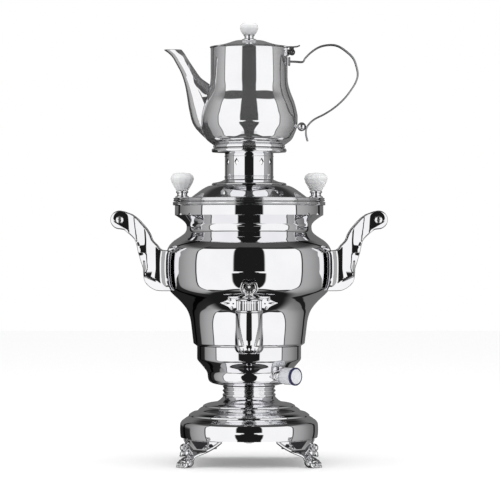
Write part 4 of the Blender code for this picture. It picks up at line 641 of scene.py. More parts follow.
def wear_group() -> bpy.types.NodeTree:
    """The shared wear of a handled surface: haze, smudges and fine polishing lines.

    Returns:
        A group with inputs Scale and Grain, and outputs Haze, Smudge and Height.
    """
    made = bpy.data.node_groups.get("handled_wear")
    if made is not None:
        return made
    made = bpy.data.node_groups.new("handled_wear", "ShaderNodeTree")
    for name, value in (("Scale", 40.0), ("Grain", 900.0)):
        socket = made.interface.new_socket(name=name, in_out="INPUT", socket_type="NodeSocketFloat")
        socket.default_value = value
    for name in ("Haze", "Smudge", "Height"):
        made.interface.new_socket(name=name, in_out="OUTPUT", socket_type="NodeSocketFloat")
    wires = Wiring(made)
    inside, outside = wires.add("NodeGroupInput"), wires.add("NodeGroupOutput")
    coordinates = wires.add("ShaderNodeTexCoord").outputs["Object"]
    broad = wires.add("ShaderNodeTexNoise")
    wires.join(coordinates, broad.inputs["Vector"])
    wires.join(inside.outputs["Scale"], broad.inputs["Scale"])
    broad.inputs["Detail"].default_value = 3.0
    haze = wires.step(broad.outputs["Fac"], 0.35, 0.7)
    spots = wires.add("ShaderNodeTexNoise")
    wires.join(coordinates, spots.inputs["Vector"])
    wires.join(wires.sum("MULTIPLY", inside.outputs["Scale"], 4.5), spots.inputs["Scale"])
    spots.inputs["Detail"].default_value = 6.0
    spots.inputs["Roughness"].default_value = 0.7
    smudge = wires.sum("MULTIPLY", haze, wires.step(spots.outputs["Fac"], 0.45, 0.75))
    flat = wires.add("ShaderNodeMapping")
    flat.inputs["Scale"].default_value = (0.04, 0.04, 1.0)
    wires.join(coordinates, flat.inputs["Vector"])
    lines = wires.add("ShaderNodeTexNoise")
    wires.join(flat.outputs["Vector"], lines.inputs["Vector"])
    wires.join(inside.outputs["Grain"], lines.inputs["Scale"])
    lines.inputs["Detail"].default_value = 2.0
    wires.join(haze, outside.inputs["Haze"])
    wires.join(smudge, outside.inputs["Smudge"])
    wires.join(lines.outputs["Fac"], outside.inputs["Height"])
    return made


@dataclass(frozen=True)
class Finish:
    """One finish of the samovar, with its wear."""

    name: str
    colour: Triple
    shade: Triple
    roughness: Pair
    metallic: float = 0.0
    scale: float = 30.0
    grain: float = 900.0
    bump: float = 0.02
    transmission: float = 0.0
    ior: float = 1.5
    coat: float = 0.0
    subsurface: float = 0.0

    def material(self) -> bpy.types.Material:
        """The material, made once.

        Returns:
            A Principled material whose colour, roughness and normal carry the wear.
        """
        made = bpy.data.materials.get(self.name)
        if made is not None:
            return made
        made = bpy.data.materials.new(self.name)
        made.use_nodes = True
        wires = Wiring(made.node_tree)
        shader = made.node_tree.nodes["Principled BSDF"]
        wear = wires.add("ShaderNodeGroup", node_tree=wear_group())
        wear.inputs["Scale"].default_value = self.scale
        wear.inputs["Grain"].default_value = self.grain
        wires.join(wires.tint(wear.outputs["Haze"], self.colour, self.shade), shader.inputs["Base Color"])
        low, high = self.roughness
        wires.join(wires.blend(wear.outputs["Smudge"], low, high), shader.inputs["Roughness"])
        relief = wires.add("ShaderNodeBump")
        relief.inputs["Strength"].default_value = self.bump
        relief.inputs["Distance"].default_value = 0.05 * MM
        wires.join(wear.outputs["Height"], relief.inputs["Height"])
        wires.join(relief.outputs["Normal"], shader.inputs["Normal"])
        shader.inputs["Metallic"].default_value = self.metallic
        shader.inputs["Transmission Weight"].default_value = self.transmission
        shader.inputs["IOR"].default_value = self.ior
        shader.inputs["Coat Weight"].default_value = self.coat
        if self.subsurface > 0.0:
            shader.inputs["Subsurface Weight"].default_value = self.subsurface
            shader.inputs["Subsurface Radius"].default_value = (1.0, 1.0, 1.0)
            shader.inputs["Subsurface Scale"].default_value = 2.0 * MM
        made.diffuse_color = (*self.colour, 1.0)
        return made


FINISHES = {
    Slot.CHROME: Finish(
        "polished_chrome", (0.93, 0.93, 0.945), (0.89, 0.89, 0.91), (0.012, 0.05),
        metallic=1.0, scale=26.0, grain=1400.0, bump=0.012,
    ),
    Slot.STEEL: Finish(
        "brushed_steel", (0.56, 0.56, 0.58), (0.48, 0.48, 0.5), (0.28, 0.42),
        metallic=1.0, scale=60.0, grain=2600.0, bump=0.25,
    ),
    Slot.ACRYLIC: Finish(
        "milky_acrylic", (0.96, 0.965, 0.975), (0.92, 0.925, 0.94), (0.06, 0.16),
        scale=70.0, bump=0.005, transmission=0.12, ior=1.49, subsurface=0.25,
    ),
    Slot.WHITE: Finish(
        "frosted_white_plastic", (0.86, 0.87, 0.9), (0.8, 0.81, 0.85), (0.16, 0.3),
        scale=90.0, bump=0.03, coat=0.3, subsurface=0.3,
    ),
    Slot.BLACK: Finish(
        "black_plastic", (0.018, 0.018, 0.02), (0.03, 0.03, 0.033), (0.32, 0.5),
        scale=120.0, grain=1800.0, bump=0.12,
    ),
    Slot.NAVY: Finish(
        "navy_plastic", (0.018, 0.02, 0.12), (0.03, 0.032, 0.16), (0.14, 0.25),
        scale=120.0, bump=0.03, coat=0.4,
    ),
    Slot.SILICONE: Finish(
        "seal_silicone", (0.7, 0.7, 0.68), (0.62, 0.62, 0.6), (0.5, 0.65),
        scale=150.0, bump=0.1, subsurface=0.2,
    ),
}


HAZED = Finish(
    "hazed_chrome", (0.93, 0.93, 0.945), (0.89, 0.89, 0.91), (0.012, 0.05), metallic=0.92, scale=26.0, grain=1400.0,
    bump=0.012,
)
# Near-black metal that paints the shade on the faces of the tap's plate and key that turn to the boiler.
BACK_SHADE = Finish(
    "painted_back_shade", (0.02, 0.02, 0.022), (0.05, 0.05, 0.055), (0.45, 0.6), metallic=1.0, scale=200.0, grain=2500.0,
    bump=0.3,
)
SATIN = Finish(
    "satin_chrome", (0.95, 0.95, 0.955), (0.9, 0.9, 0.92), (0.22, 0.32), metallic=1.0, scale=120.0, grain=2000.0,
    bump=0.05,
)


def painted_shade_back(obj: bpy.types.Object, limit: float = 0.25) -> bpy.types.Object:
    """The object with the faces whose normals point to +Y by more than a limit given a near-black metal, painted shade
    on the sides turned to the boiler.
    """
    obj.data.materials.append(BACK_SHADE.material())
    for face in obj.data.polygons:
        if face.normal.y > limit:
            face.material_index = 1
    return obj


# Base

@dataclass
class Base:
    """The stepped dome and the neck ring on it."""

    radius: float = 76.2 * MM
    top_radius: float = 28.6 * MM
    low: float = 28.0 * MM
    high: float = 73.2 * MM
    wall: float = 1.6 * MM
    bore: float = 20.0 * MM
    neck_radius: float = 29.2 * MM
    neck_height: float = 11.0 * MM

    def dome(self) -> None:
        """Spins the dome: a round skirt, a stepped shoulder and a sloping neck."""
        skirt = curved(between((self.radius, self.low), (self.top_radius, self.high), (
            (0.017, 0.0), (0.004, 0.09), (0.0, 0.2), (0.008, 0.33), (0.04, 0.395), (0.08, 0.43),
        )), 5)
        shoulder = curved(between((self.radius, self.low), (self.top_radius, self.high), (
            (0.092, 0.437), (0.13, 0.468), (0.18, 0.5), (0.2, 0.514), (0.205, 0.545), (0.225, 0.565),
            (0.26, 0.593), (0.3, 0.615), (0.37, 0.632), (0.405, 0.645),
        )), 4)
        bead = curved(between((self.radius, self.low), (self.top_radius, self.high), (
            (0.415, 0.656), (0.43, 0.675), (0.455, 0.7), (0.5, 0.73), (0.53, 0.745), (0.536, 0.772),
            (0.56, 0.79), (0.622, 0.82),
            (0.7, 0.838), (0.8, 0.85), (0.86, 0.865),
        )), 4)
        neck = curved(between((self.radius, self.low), (self.top_radius, self.high), (
            (0.872, 0.876), (0.91, 0.9), (0.95, 0.935), (0.985, 0.975), (1.0, 1.0),
        )), 4)
        outer = skirt + shoulder + bead + neck
        inside = inward(outer[2:], self.wall)
        outline = [(self.radius - 2 * self.wall, self.low)] + outer + [(self.bore, self.high)]
        outline += [(self.bore, self.high - self.wall)] + inside[::-1]
        finished(spun("dome", outline, FINE), Body.SAMOVAR, Slot.CHROME, ["base_dome"])

    def neck(self) -> None:
        """Spins the beaded ring between the dome and the heater housing."""
        low = self.high + GAP
        step = self.neck_height / 12
        side = eased([
            (self.bore, low), (self.neck_radius, low), (self.neck_radius, low + 2.2 * step),
            (self.neck_radius - 1.5 * MM, low + 3.2 * step), (self.neck_radius - 1.5 * MM, low + 4.4 * step),
            (self.neck_radius, low + 5.4 * step), (self.neck_radius, low + 7.0 * step),
            (self.neck_radius - 1.5 * MM, low + 8.0 * step), (self.neck_radius - 1.5 * MM, low + 9.2 * step),
            (self.neck_radius - 0.4 * MM, low + 10.2 * step), (self.neck_radius - 0.4 * MM, low + 12 * step),
            (self.bore, low + 12 * step),
        ], 0.5 * MM)
        finished(spun("neck", side), Body.SAMOVAR, Slot.CHROME, ["neck_ring"])

    def build(self) -> None:
        """Builds the base."""
        self.dome()
        self.neck()


@dataclass
class Feet:
    """Four cast feet with curled leaves and lion paws, and their screws."""

    count: int = 4
    base_radius: float = 76.2 * MM
    top: float = 27.7 * MM
    plate: float = 3.2 * MM
    ankle_radius: float = 90.0 * MM
    ankle: float = 12.0 * MM
    paw_reach: float = 96.5 * MM
    paw_length: float = 18.0 * MM
    paw_width: float = 15.0 * MM
    paw_height: float = 12.5 * MM
    leaf_eye: Pair = (98.5 * MM, 22.5 * MM)
    leaf_radius: float = 4.6 * MM
    shade_patch_angle: float = math.radians(10.4)
    wing_angle: float = math.radians(17.5)
    leg_angle: float = math.radians(3.2)
    screw_offset: float = math.radians(12.3)
    screw_height: float = 23.2 * MM
    rows: tuple[tuple[float, float, float], ...] = (
        (0.0, 1.3, 0.0), (0.12, 1.17, 0.0), (0.27, 1.0, 0.0), (0.45, 0.74, 0.0), (0.6, 0.5, 0.03),
        (0.7, 0.36, 0.12), (0.8, 0.22, 0.34), (0.9, 0.1, 0.62), (1.0, 0.02, 0.86), (1.12, 0.0, 1.0),
        (1.25, 0.02, 1.1),
    )

    def wing(self) -> bpy.types.Object:
        """The curved wing that narrows to the ankle, in the foot's direction +X.

        Returns:
            The wing.
        """
        rings = []
        for down, width, out in curved(self.rows, 3):
            height = self.top - (self.top - self.ankle) * down
            radius = self.base_radius + (self.ankle_radius - self.base_radius) * out
            half = self.leg_angle + (self.wing_angle - self.leg_angle) * width
            angles = [half * (2 * column / 16 - 1) for column in range(17)]
            outer = [(radius * math.cos(a), radius * math.sin(a), height) for a in angles]
            inner = radius - self.plate
            back = [(inner * math.cos(a), inner * math.sin(a), height) for a in reversed(angles)]
            rings.append(outer + back)
        return lofted("wing", rings)

    def rim(self) -> list[bpy.types.Object]:
        """Raised beads that run down the wing's two lower edges.

        Returns:
            One bead for each edge.
        """
        beads = []
        for side in (-1, 1):
            route = []
            for down, width, out in curved(self.rows, 3):
                height = self.top - (self.top - self.ankle) * down
                radius = self.base_radius + (self.ankle_radius - self.base_radius) * out
                half = self.leg_angle + (self.wing_angle - self.leg_angle) * width
                angle = side * half
                route.append(Vector((radius * math.cos(angle), radius * math.sin(angle), height)))
            beads.append(tube("bead", route, [1.7 * MM] * len(route), 16))
        return beads

    def leaf(self) -> list[bpy.types.Object]:
        """A scroll that curls up and outward from the ankle.

        Returns:
            The solids of the scroll.
        """
        eye = Vector((self.leaf_eye[0], 0, self.leaf_eye[1]))
        route, sizes = [Vector((self.ankle_radius - 3.0 * MM, 0, self.ankle + 2.0 * MM))], [1.5 * MM]
        for step in range(27):
            share = step / 26
            angle = math.radians(-150.0 + 400.0 * share)
            reach = self.leaf_radius * (1.0 - 0.72 * share)
            route.append(eye + Vector((math.cos(angle) * reach * 1.2, 0, math.sin(angle) * reach)))
            sizes.append((1.35 - 0.45 * share) * MM)
        scroll = tube("leaf", route, sizes, 12)
        moved(scroll, lambda p: Vector((p.x, p.y * 2.2, p.z)))
        tip = globe("tip", 1.7 * MM, tuple(route[-1]), (1.0, 1.5, 1.0), 16)
        crest = globe("crest", 1.8 * MM, (eye.x - 4.2 * MM, 0, eye.z + 3.6 * MM), (1.5, 1.3, 0.8), 16)
        return [scroll, tip, crest]

    def paw(self) -> list[bpy.types.Object]:
        """The paw: a low body, four toes with knuckles, and claws.

        Returns:
            The solids of the paw.
        """
        half = self.paw_height / 2
        parts = [globe(
            "paw", half, (self.paw_reach - 1.5 * MM, 0, self.paw_height * 0.44),
            (self.paw_length / self.paw_height * 0.92, self.paw_width / self.paw_height * 0.98, 1.0),
        )]
        parts.append(globe("heel", half * 0.7, (self.ankle_radius + 1.0 * MM, 0, self.ankle * 0.62), (1.0, 0.85, 1.15)))
        for toe in range(4):
            side = (toe + 0.5) / 4 - 0.5
            turn = side * 0.9
            reach = self.paw_reach + self.paw_length / 2 - 3.4 * MM - 12 * side * side * MM * 0.5
            across = side * self.paw_width * 1.02
            for out, height, size, stretch in (
                (-3.2, 6.2, 2.5, (1.5, 0.74, 1.1)), (0.2, 3.6, 2.4, (1.15, 0.78, 1.25)),
                (2.1, 1.5, 1.35, (1.3, 0.7, 1.0)),
            ):
                centre = (reach + out * MM, across + turn * out * 0.35 * MM, height * MM)
                parts.append(globe("toe", size * MM, centre, stretch, 20))
        return parts

    def gusset(self) -> bpy.types.Object:
        """The black triangle on the wing's face: painted shade standing in for the shade of a recess there.

        Returns:
            The insert, in the direction +X.
        """
        rings = []
        for step in range(9):
            height = self.top - 0.7 * MM - (self.top - self.ankle) * 0.66 * step / 8
            half = self.shade_patch_angle * (1.0 - 0.92 * step / 8)
            angles = [half * (2 * column / 12 - 1) for column in range(13)]
            outer, inner = self.base_radius + 0.25 * MM, self.base_radius - 0.6 * MM
            ring = [(outer * math.cos(a), outer * math.sin(a), height) for a in angles]
            rings.append(ring + [(inner * math.cos(a), inner * math.sin(a), height) for a in reversed(angles)])
        return lofted("gusset", rings)

    def casting(self) -> bpy.types.Object:
        """One whole foot, melted into a casting that stands flat.

        Returns:
            The foot, in the direction +X.
        """
        foot = gathered("foot", [self.wing(), *self.rim(), *self.leaf(), *self.paw()])
        cast_in_one(foot, 0.42 * MM, 2)
        floor = block("floor", (0.2, 0.2, 0.02), (self.paw_reach, 0, -0.01))
        combined(foot, floor)
        inner = cylinder("inner", self.base_radius - self.plate + 0.05 * MM, (0, 0, 0.02), (0, 0, 0.05), FINE)
        combined(foot, inner)
        shelf = block("shelf", (0.3, 0.3, 0.02), (0, 0, self.top + 0.01))
        return combined(foot, shelf)

    def screw(self) -> bpy.types.Object:
        """A round-head screw with a crossed slot, in the direction +X.

        Returns:
            The screw.
        """
        head = self.base_radius + GAP
        outline = [
            (0.0, head - 6.5 * MM), (1.5 * MM, head - 6.5 * MM), (1.5 * MM, head), (2.0 * MM, head),
            (2.0 * MM, head + 0.5 * MM), (1.6 * MM, head + 1.0 * MM), (0.9 * MM, head + 1.2 * MM),
            (0.0, head + 1.25 * MM),
        ]
        screw = spun("screw", outline, 28)
        for size in ((2.2, 0.5), (0.5, 2.2)):
            slot = block("slot", (size[0] * MM, size[1] * MM, 1.4 * MM), (0, 0, head + 1.25 * MM))
            combined(screw, slot)
        placed(screw, Matrix.Rotation(math.pi / 2, 4, "Y"))
        return placed(screw, Matrix.Translation((0, 0, self.screw_height)))

    def build(self) -> None:
        """Builds one foot and one screw, and copies them round."""
        foot, screw, gusset = self.casting(), self.screw(), self.gusset()
        names = ("rear_right", "rear_left", "front_left", "front_right")
        for index, name in enumerate(names):
            angle = math.radians(45.0) + index * math.tau / self.count
            beside = angle + self.screw_offset * (1 if index % 2 == 0 else -1)
            turn, spin = Matrix.Rotation(angle, 4, "Z"), Matrix.Rotation(beside, 4, "Z")
            cast = placed(copied(foot, "cast_foot_" + name), turn)
            finished(cast, Body.SAMOVAR, Slot.CHROME, ["foot_" + name])
            # Each foot gets a black patch of painted shade on its wing.
            insert = placed(copied(gusset, "foot_gusset_" + name), turn)
            finished(insert, Body.SAMOVAR, Slot.BLACK, [])
            pin = placed(copied(screw, "foot_fixing_" + name), spin)
            finished(pin, Body.SAMOVAR, Slot.BLACK, ["foot_screw_" + name])
        for spare in (foot, screw, gusset):
            bpy.data.objects.remove(spare)


# Heater housing, thermostat and inlet

@dataclass
class Heater:
    """The bowl and band under the boiler, the thermostat on it and the inlet behind."""

    foot_radius: float = 27.9 * MM
    radius: float = 57.3 * MM
    low: float = 84.8 * MM
    band: float = 115.0 * MM
    high: float = 128.4 * MM
    wall: float = 1.4 * MM
    bore: float = 20.0 * MM
    knob_angle: float = math.radians(46.0)
    knob_height: float = 97.0 * MM
    bezel_reach: float = 52.4 * MM
    bezel_radius: float = 8.6 * MM
    knob_radius: float = 9.3 * MM
    knob_length: float = 18.5 * MM
    flutes: int = 12
    inlet: Triple = (27.0 * MM, 24.0 * MM, 19.0 * MM)
    inlet_height: float = 110.5 * MM

    def outline(self) -> list[Pair]:
        """The outer side of the housing, from its foot up."""
        start, end = (self.foot_radius, self.low), (self.radius, self.band)
        bowl = curved(between(start, end, (
            (0.0, 0.0), (0.16, 0.03), (0.289, 0.055), (0.38, 0.075), (0.456, 0.103), (0.53, 0.15),
            (0.575, 0.215), (0.598, 0.32), (0.61, 0.43), (0.632, 0.5),
        )), 3)
        shoulder = curved(between(start, end, (
            (0.645, 0.525), (0.7, 0.6), (0.77, 0.69), (0.83, 0.76), (0.91, 0.85), (0.97, 0.92), (0.995, 0.965),
        )), 3)
        return bowl + shoulder + [(self.radius, self.band), (self.radius, self.high)]

    def along_knob(self) -> Matrix:
        """Turns a shape that points along +Z from the origin to the thermostat's axis."""
        lift = Matrix.Translation((0, 0, self.knob_height))
        turn = Matrix.Rotation(self.knob_angle - math.pi / 2, 4, "Z")
        return lift @ turn @ Matrix.Rotation(math.pi / 2, 4, "Y")

    def housing(self) -> None:
        """Spins the housing and cuts the inlet's opening and the thermostat's hole in it."""
        outer = self.outline()
        inner = [p for p in inward(outer[6:-1], self.wall)] + [(self.radius - self.wall, self.high)]
        outline = outer + inner[::-1] + [(self.bore, inner[0][1]), (self.bore, self.low)]
        shell = spun("housing", outline, FINE)
        width, _, height = self.inlet
        combined(shell, block(
            "opening", (width + 2 * GAP, self.radius, height + 2 * GAP), (0, self.radius, self.inlet_height),
        ))
        hole = cylinder("hole", 3.3 * MM, (0, 0, 8 * MM), (0, 0, self.bezel_reach))
        combined(shell, placed(hole, self.along_knob()))
        finished(shell, Body.SAMOVAR, Slot.CHROME, ["heater_housing"])

    def bezel(self) -> None:
        """The thermostat's collar, with a groove behind its rim."""
        side = eased([
            (3.3 * MM, 30 * MM), (self.bezel_radius - 0.8 * MM, 30 * MM),
            (self.bezel_radius - 0.8 * MM, self.bezel_reach - 5.4 * MM),
            (self.bezel_radius - 1.6 * MM, self.bezel_reach - 4.9 * MM),
            (self.bezel_radius - 1.6 * MM, self.bezel_reach - 4.0 * MM),
            (self.bezel_radius, self.bezel_reach - 3.4 * MM), (self.bezel_radius, self.bezel_reach),
            (3.3 * MM, self.bezel_reach),
        ], 0.4 * MM)
        bezel = placed(spun("bezel", side, ROUND), self.along_knob())
        core = [(r + GAP, z) for r, z in self.outline()]
        core = [(0.0, self.low - 2 * MM), (core[0][0], self.low - 2 * MM)] + core[1:] + [(0.0, self.high)]
        combined(bezel, spun("core", core, FINE))
        finished(bezel, Body.SAMOVAR, Slot.CHROME, ["thermostat_bezel"])

    def knob(self) -> None:
        """The fluted translucent knob with its dark ring, and the ring's fine knurling."""
        start = self.bezel_reach + GAP
        end = start + self.knob_length
        ring = end - 3.0 * MM
        inner = self.knob_radius - 1.1 * MM
        side = [
            (3.3 * MM, start), (self.knob_radius - 0.9 * MM, start), (self.knob_radius, start + 1.2 * MM),
            (self.knob_radius, ring - 1.0 * MM), (inner, ring - 1.0 * MM + GAP), (inner, end - 0.2 * MM),
            (inner - 0.8 * MM, end + 0.4 * MM), (inner - 1.6 * MM, end + 0.4 * MM),
            (inner - 2.2 * MM, end - 0.2 * MM), (0.0, end - 0.2 * MM), (0.0, start + 9 * MM),
            (3.3 * MM, start + 9 * MM),
        ]
        knob = spun("knob", eased(side, 0.35 * MM), 96)

        def flute(point: Vector) -> Vector:
            """Draws the knob's side in between its ridges."""
            radius = math.hypot(point.x, point.y)
            if radius < self.knob_radius - 0.95 * MM:
                return point
            angle = math.atan2(point.y, point.x)
            depth = 0.42 * MM * (0.5 - 0.5 * math.cos(self.flutes * angle)) ** 0.6
            share = 1.0 - depth / radius
            return Vector((point.x * share, point.y * share, point.z))

        moved(knob, flute)
        finished(placed(knob, self.along_knob()), Body.KNOB, Slot.WHITE, ["thermostat_knob"])
        fit = inner + GAP
        band = eased([
            (fit, ring), (9.5 * MM, ring), (9.9 * MM, ring + 0.5 * MM), (9.9 * MM, end - 0.6 * MM),
            (9.3 * MM, end), (fit, end),
        ], 0.3 * MM)
        hoop = spun("knob_band", band, 144)
        moved(hoop, lambda p: p if math.hypot(p.x, p.y) < 9.7 * MM or round(
            math.degrees(math.atan2(p.y, p.x)) / 2.5) % 2 else Vector((p.x * 0.985, p.y * 0.985, p.z)))
        finished(placed(hoop, self.along_knob()), Body.KNOB, Slot.NAVY, ["thermostat_knob_ring"])

    def socket(self) -> None:
        """The mains inlet: a flanged shell with a rounded recess and three flat pins."""
        width, depth, height = self.inlet
        face = self.radius + GAP + 2.2 * MM
        shell = block("socket", (width, depth, height), (0, face - depth / 2, self.inlet_height))
        flange = block("flange", (width + 6 * MM, 2.2 * MM, height + 6 * MM), (0, face - 1.1 * MM, self.inlet_height))
        softened(flange, 2.0 * MM, 4, 60)
        combined(shell, flange, "UNION")
        corners = [
            (-0.5, -0.5), (0.5, -0.5), (0.5, 0.18), (0.26, 0.5), (-0.26, 0.5), (-0.5, 0.18), (-0.5, -0.5),
        ]
        inside = (width - 4 * MM, height - 4 * MM)
        mouth = eased([(u * inside[0], v * inside[1]) for u, v in corners], 1.2 * MM)[:-1]
        recess = cut_sheet("recess", mouth, 32 * MM)
        combined(shell, placed(recess, Matrix.Translation((0, face, self.inlet_height))))
        softened(shell, 0.4 * MM, 2, 50)
        parts = [shell]
        for column, rise in ((-1, -0.8), (0, 1.4), (1, -0.8)):
            pin = block("pin", (2.2 * MM, 13 * MM, 4.4 * MM), (
                column * 7 * MM, face - 16 * MM + 5.5 * MM, self.inlet_height + rise * MM * 0.0,
            ))
            parts.append(softened(pin, 0.35 * MM, 2))
        finished(gathered("mains_socket", parts), Body.SAMOVAR, Slot.BLACK, ["power_inlet"])

    def build(self) -> None:
        """Builds the housing and what it holds."""
        self.housing()
        self.bezel()
        self.knob()
        self.socket()


# Boiler

@dataclass
class Boiler:
    """The turned vessel with its throat and collar, and the ring round its rim."""

    foot_radius: float = 57.6 * MM
    low: float = 128.7 * MM
    waist: Pair = (61.3 * MM, 131.4 * MM)
    bulge: Pair = (91.8 * MM, 214.9 * MM)
    throat: Pair = (68.8 * MM, 258.4 * MM)
    collar: Pair = (81.8 * MM, 272.4 * MM)
    ledge: float = 282.9 * MM
    high: float = 287.2 * MM
    wall: float = 1.4 * MM
    ring_radius: float = 84.2 * MM

    def outline(self) -> list[Pair]:
        """The outer side, from the foot to the collar's lower edge."""
        waist = curved(between(self.waist, self.bulge, (
            (0.0, 0.0), (0.018, 0.055), (0.042, 0.125), (0.066, 0.2), (0.1, 0.295), (0.15, 0.37),
            (0.225, 0.437), (0.33, 0.493), (0.46, 0.548), (0.6, 0.598), (0.74, 0.645), (0.85, 0.69),
            (0.925, 0.74), (0.965, 0.8), (0.987, 0.87), (1.0, 0.945), (1.0, 1.0),
        )), 4)
        shoulder = curved(between(self.bulge, self.throat, (
            (0.0, 0.0), (0.0, 0.12), (0.012, 0.24), (0.04, 0.37), (0.09, 0.475), (0.2, 0.575),
            (0.38, 0.67), (0.52, 0.72), (0.66, 0.768), (0.8, 0.82), (0.926, 0.88), (0.985, 0.94),
            (1.0, 1.0),
        )), 4)
        flare = curved(between(self.throat, self.collar, (
            (0.0, 0.0), (0.0, 0.15), (0.05, 0.3), (0.15, 0.43), (0.32, 0.58), (0.5, 0.71), (0.72, 0.85),
            (0.9, 0.95), (1.0, 1.0),
        )), 4)
        return [(self.foot_radius, self.low)] + waist + shoulder[1:] + flare[1:]

    def vessel(self) -> None:
        """Spins the whole vessel with its wall, and cuts the tap's hole in it."""
        side = self.outline()
        lip = self.collar[0] - 1.0 * MM
        inner = inward(side[2:], self.wall)
        collar = eased([
            side[-1], (self.collar[0], self.ledge), (lip, self.ledge + 0.1 * MM), (lip, self.high),
            (lip - self.wall, self.high), (lip - self.wall, self.ledge - 4 * MM), inner[-1],
        ], 0.35 * MM)
        floor = self.low + self.wall
        outline = [(0.0, self.low)] + side + collar[1:] + inner[::-1]
        outline += [(self.foot_radius - self.wall, floor), (0.0, floor)]
        vessel = spun("boiler", outline, 192)
        combined(vessel, cylinder("bore", 5.3 * MM, (0, -40 * MM, 175.6 * MM), (0, -95 * MM, 175.6 * MM)))
        finished(vessel, Body.SAMOVAR, Slot.CHROME, ["boiler_cup", "boiler_vessel", "boiler_collar"])
        low = self.ledge + GAP
        ring = eased([
            (lip + GAP, low), (self.ring_radius - 0.6 * MM, low), (self.ring_radius, low + 0.8 * MM),
            (self.ring_radius - 0.5 * MM, low + 1.7 * MM), (self.ring_radius, low + 2.5 * MM),
            (self.ring_radius - 0.5 * MM, low + 3.7 * MM), (lip + GAP, low + 3.7 * MM),
        ], 0.3 * MM)
        finished(spun("rim_band", ring, FINE), Body.SAMOVAR, Slot.CHROME, ["rim_ring"])

    def build(self) -> None:
        """Builds the boiler."""
        self.vessel()


# Side handles

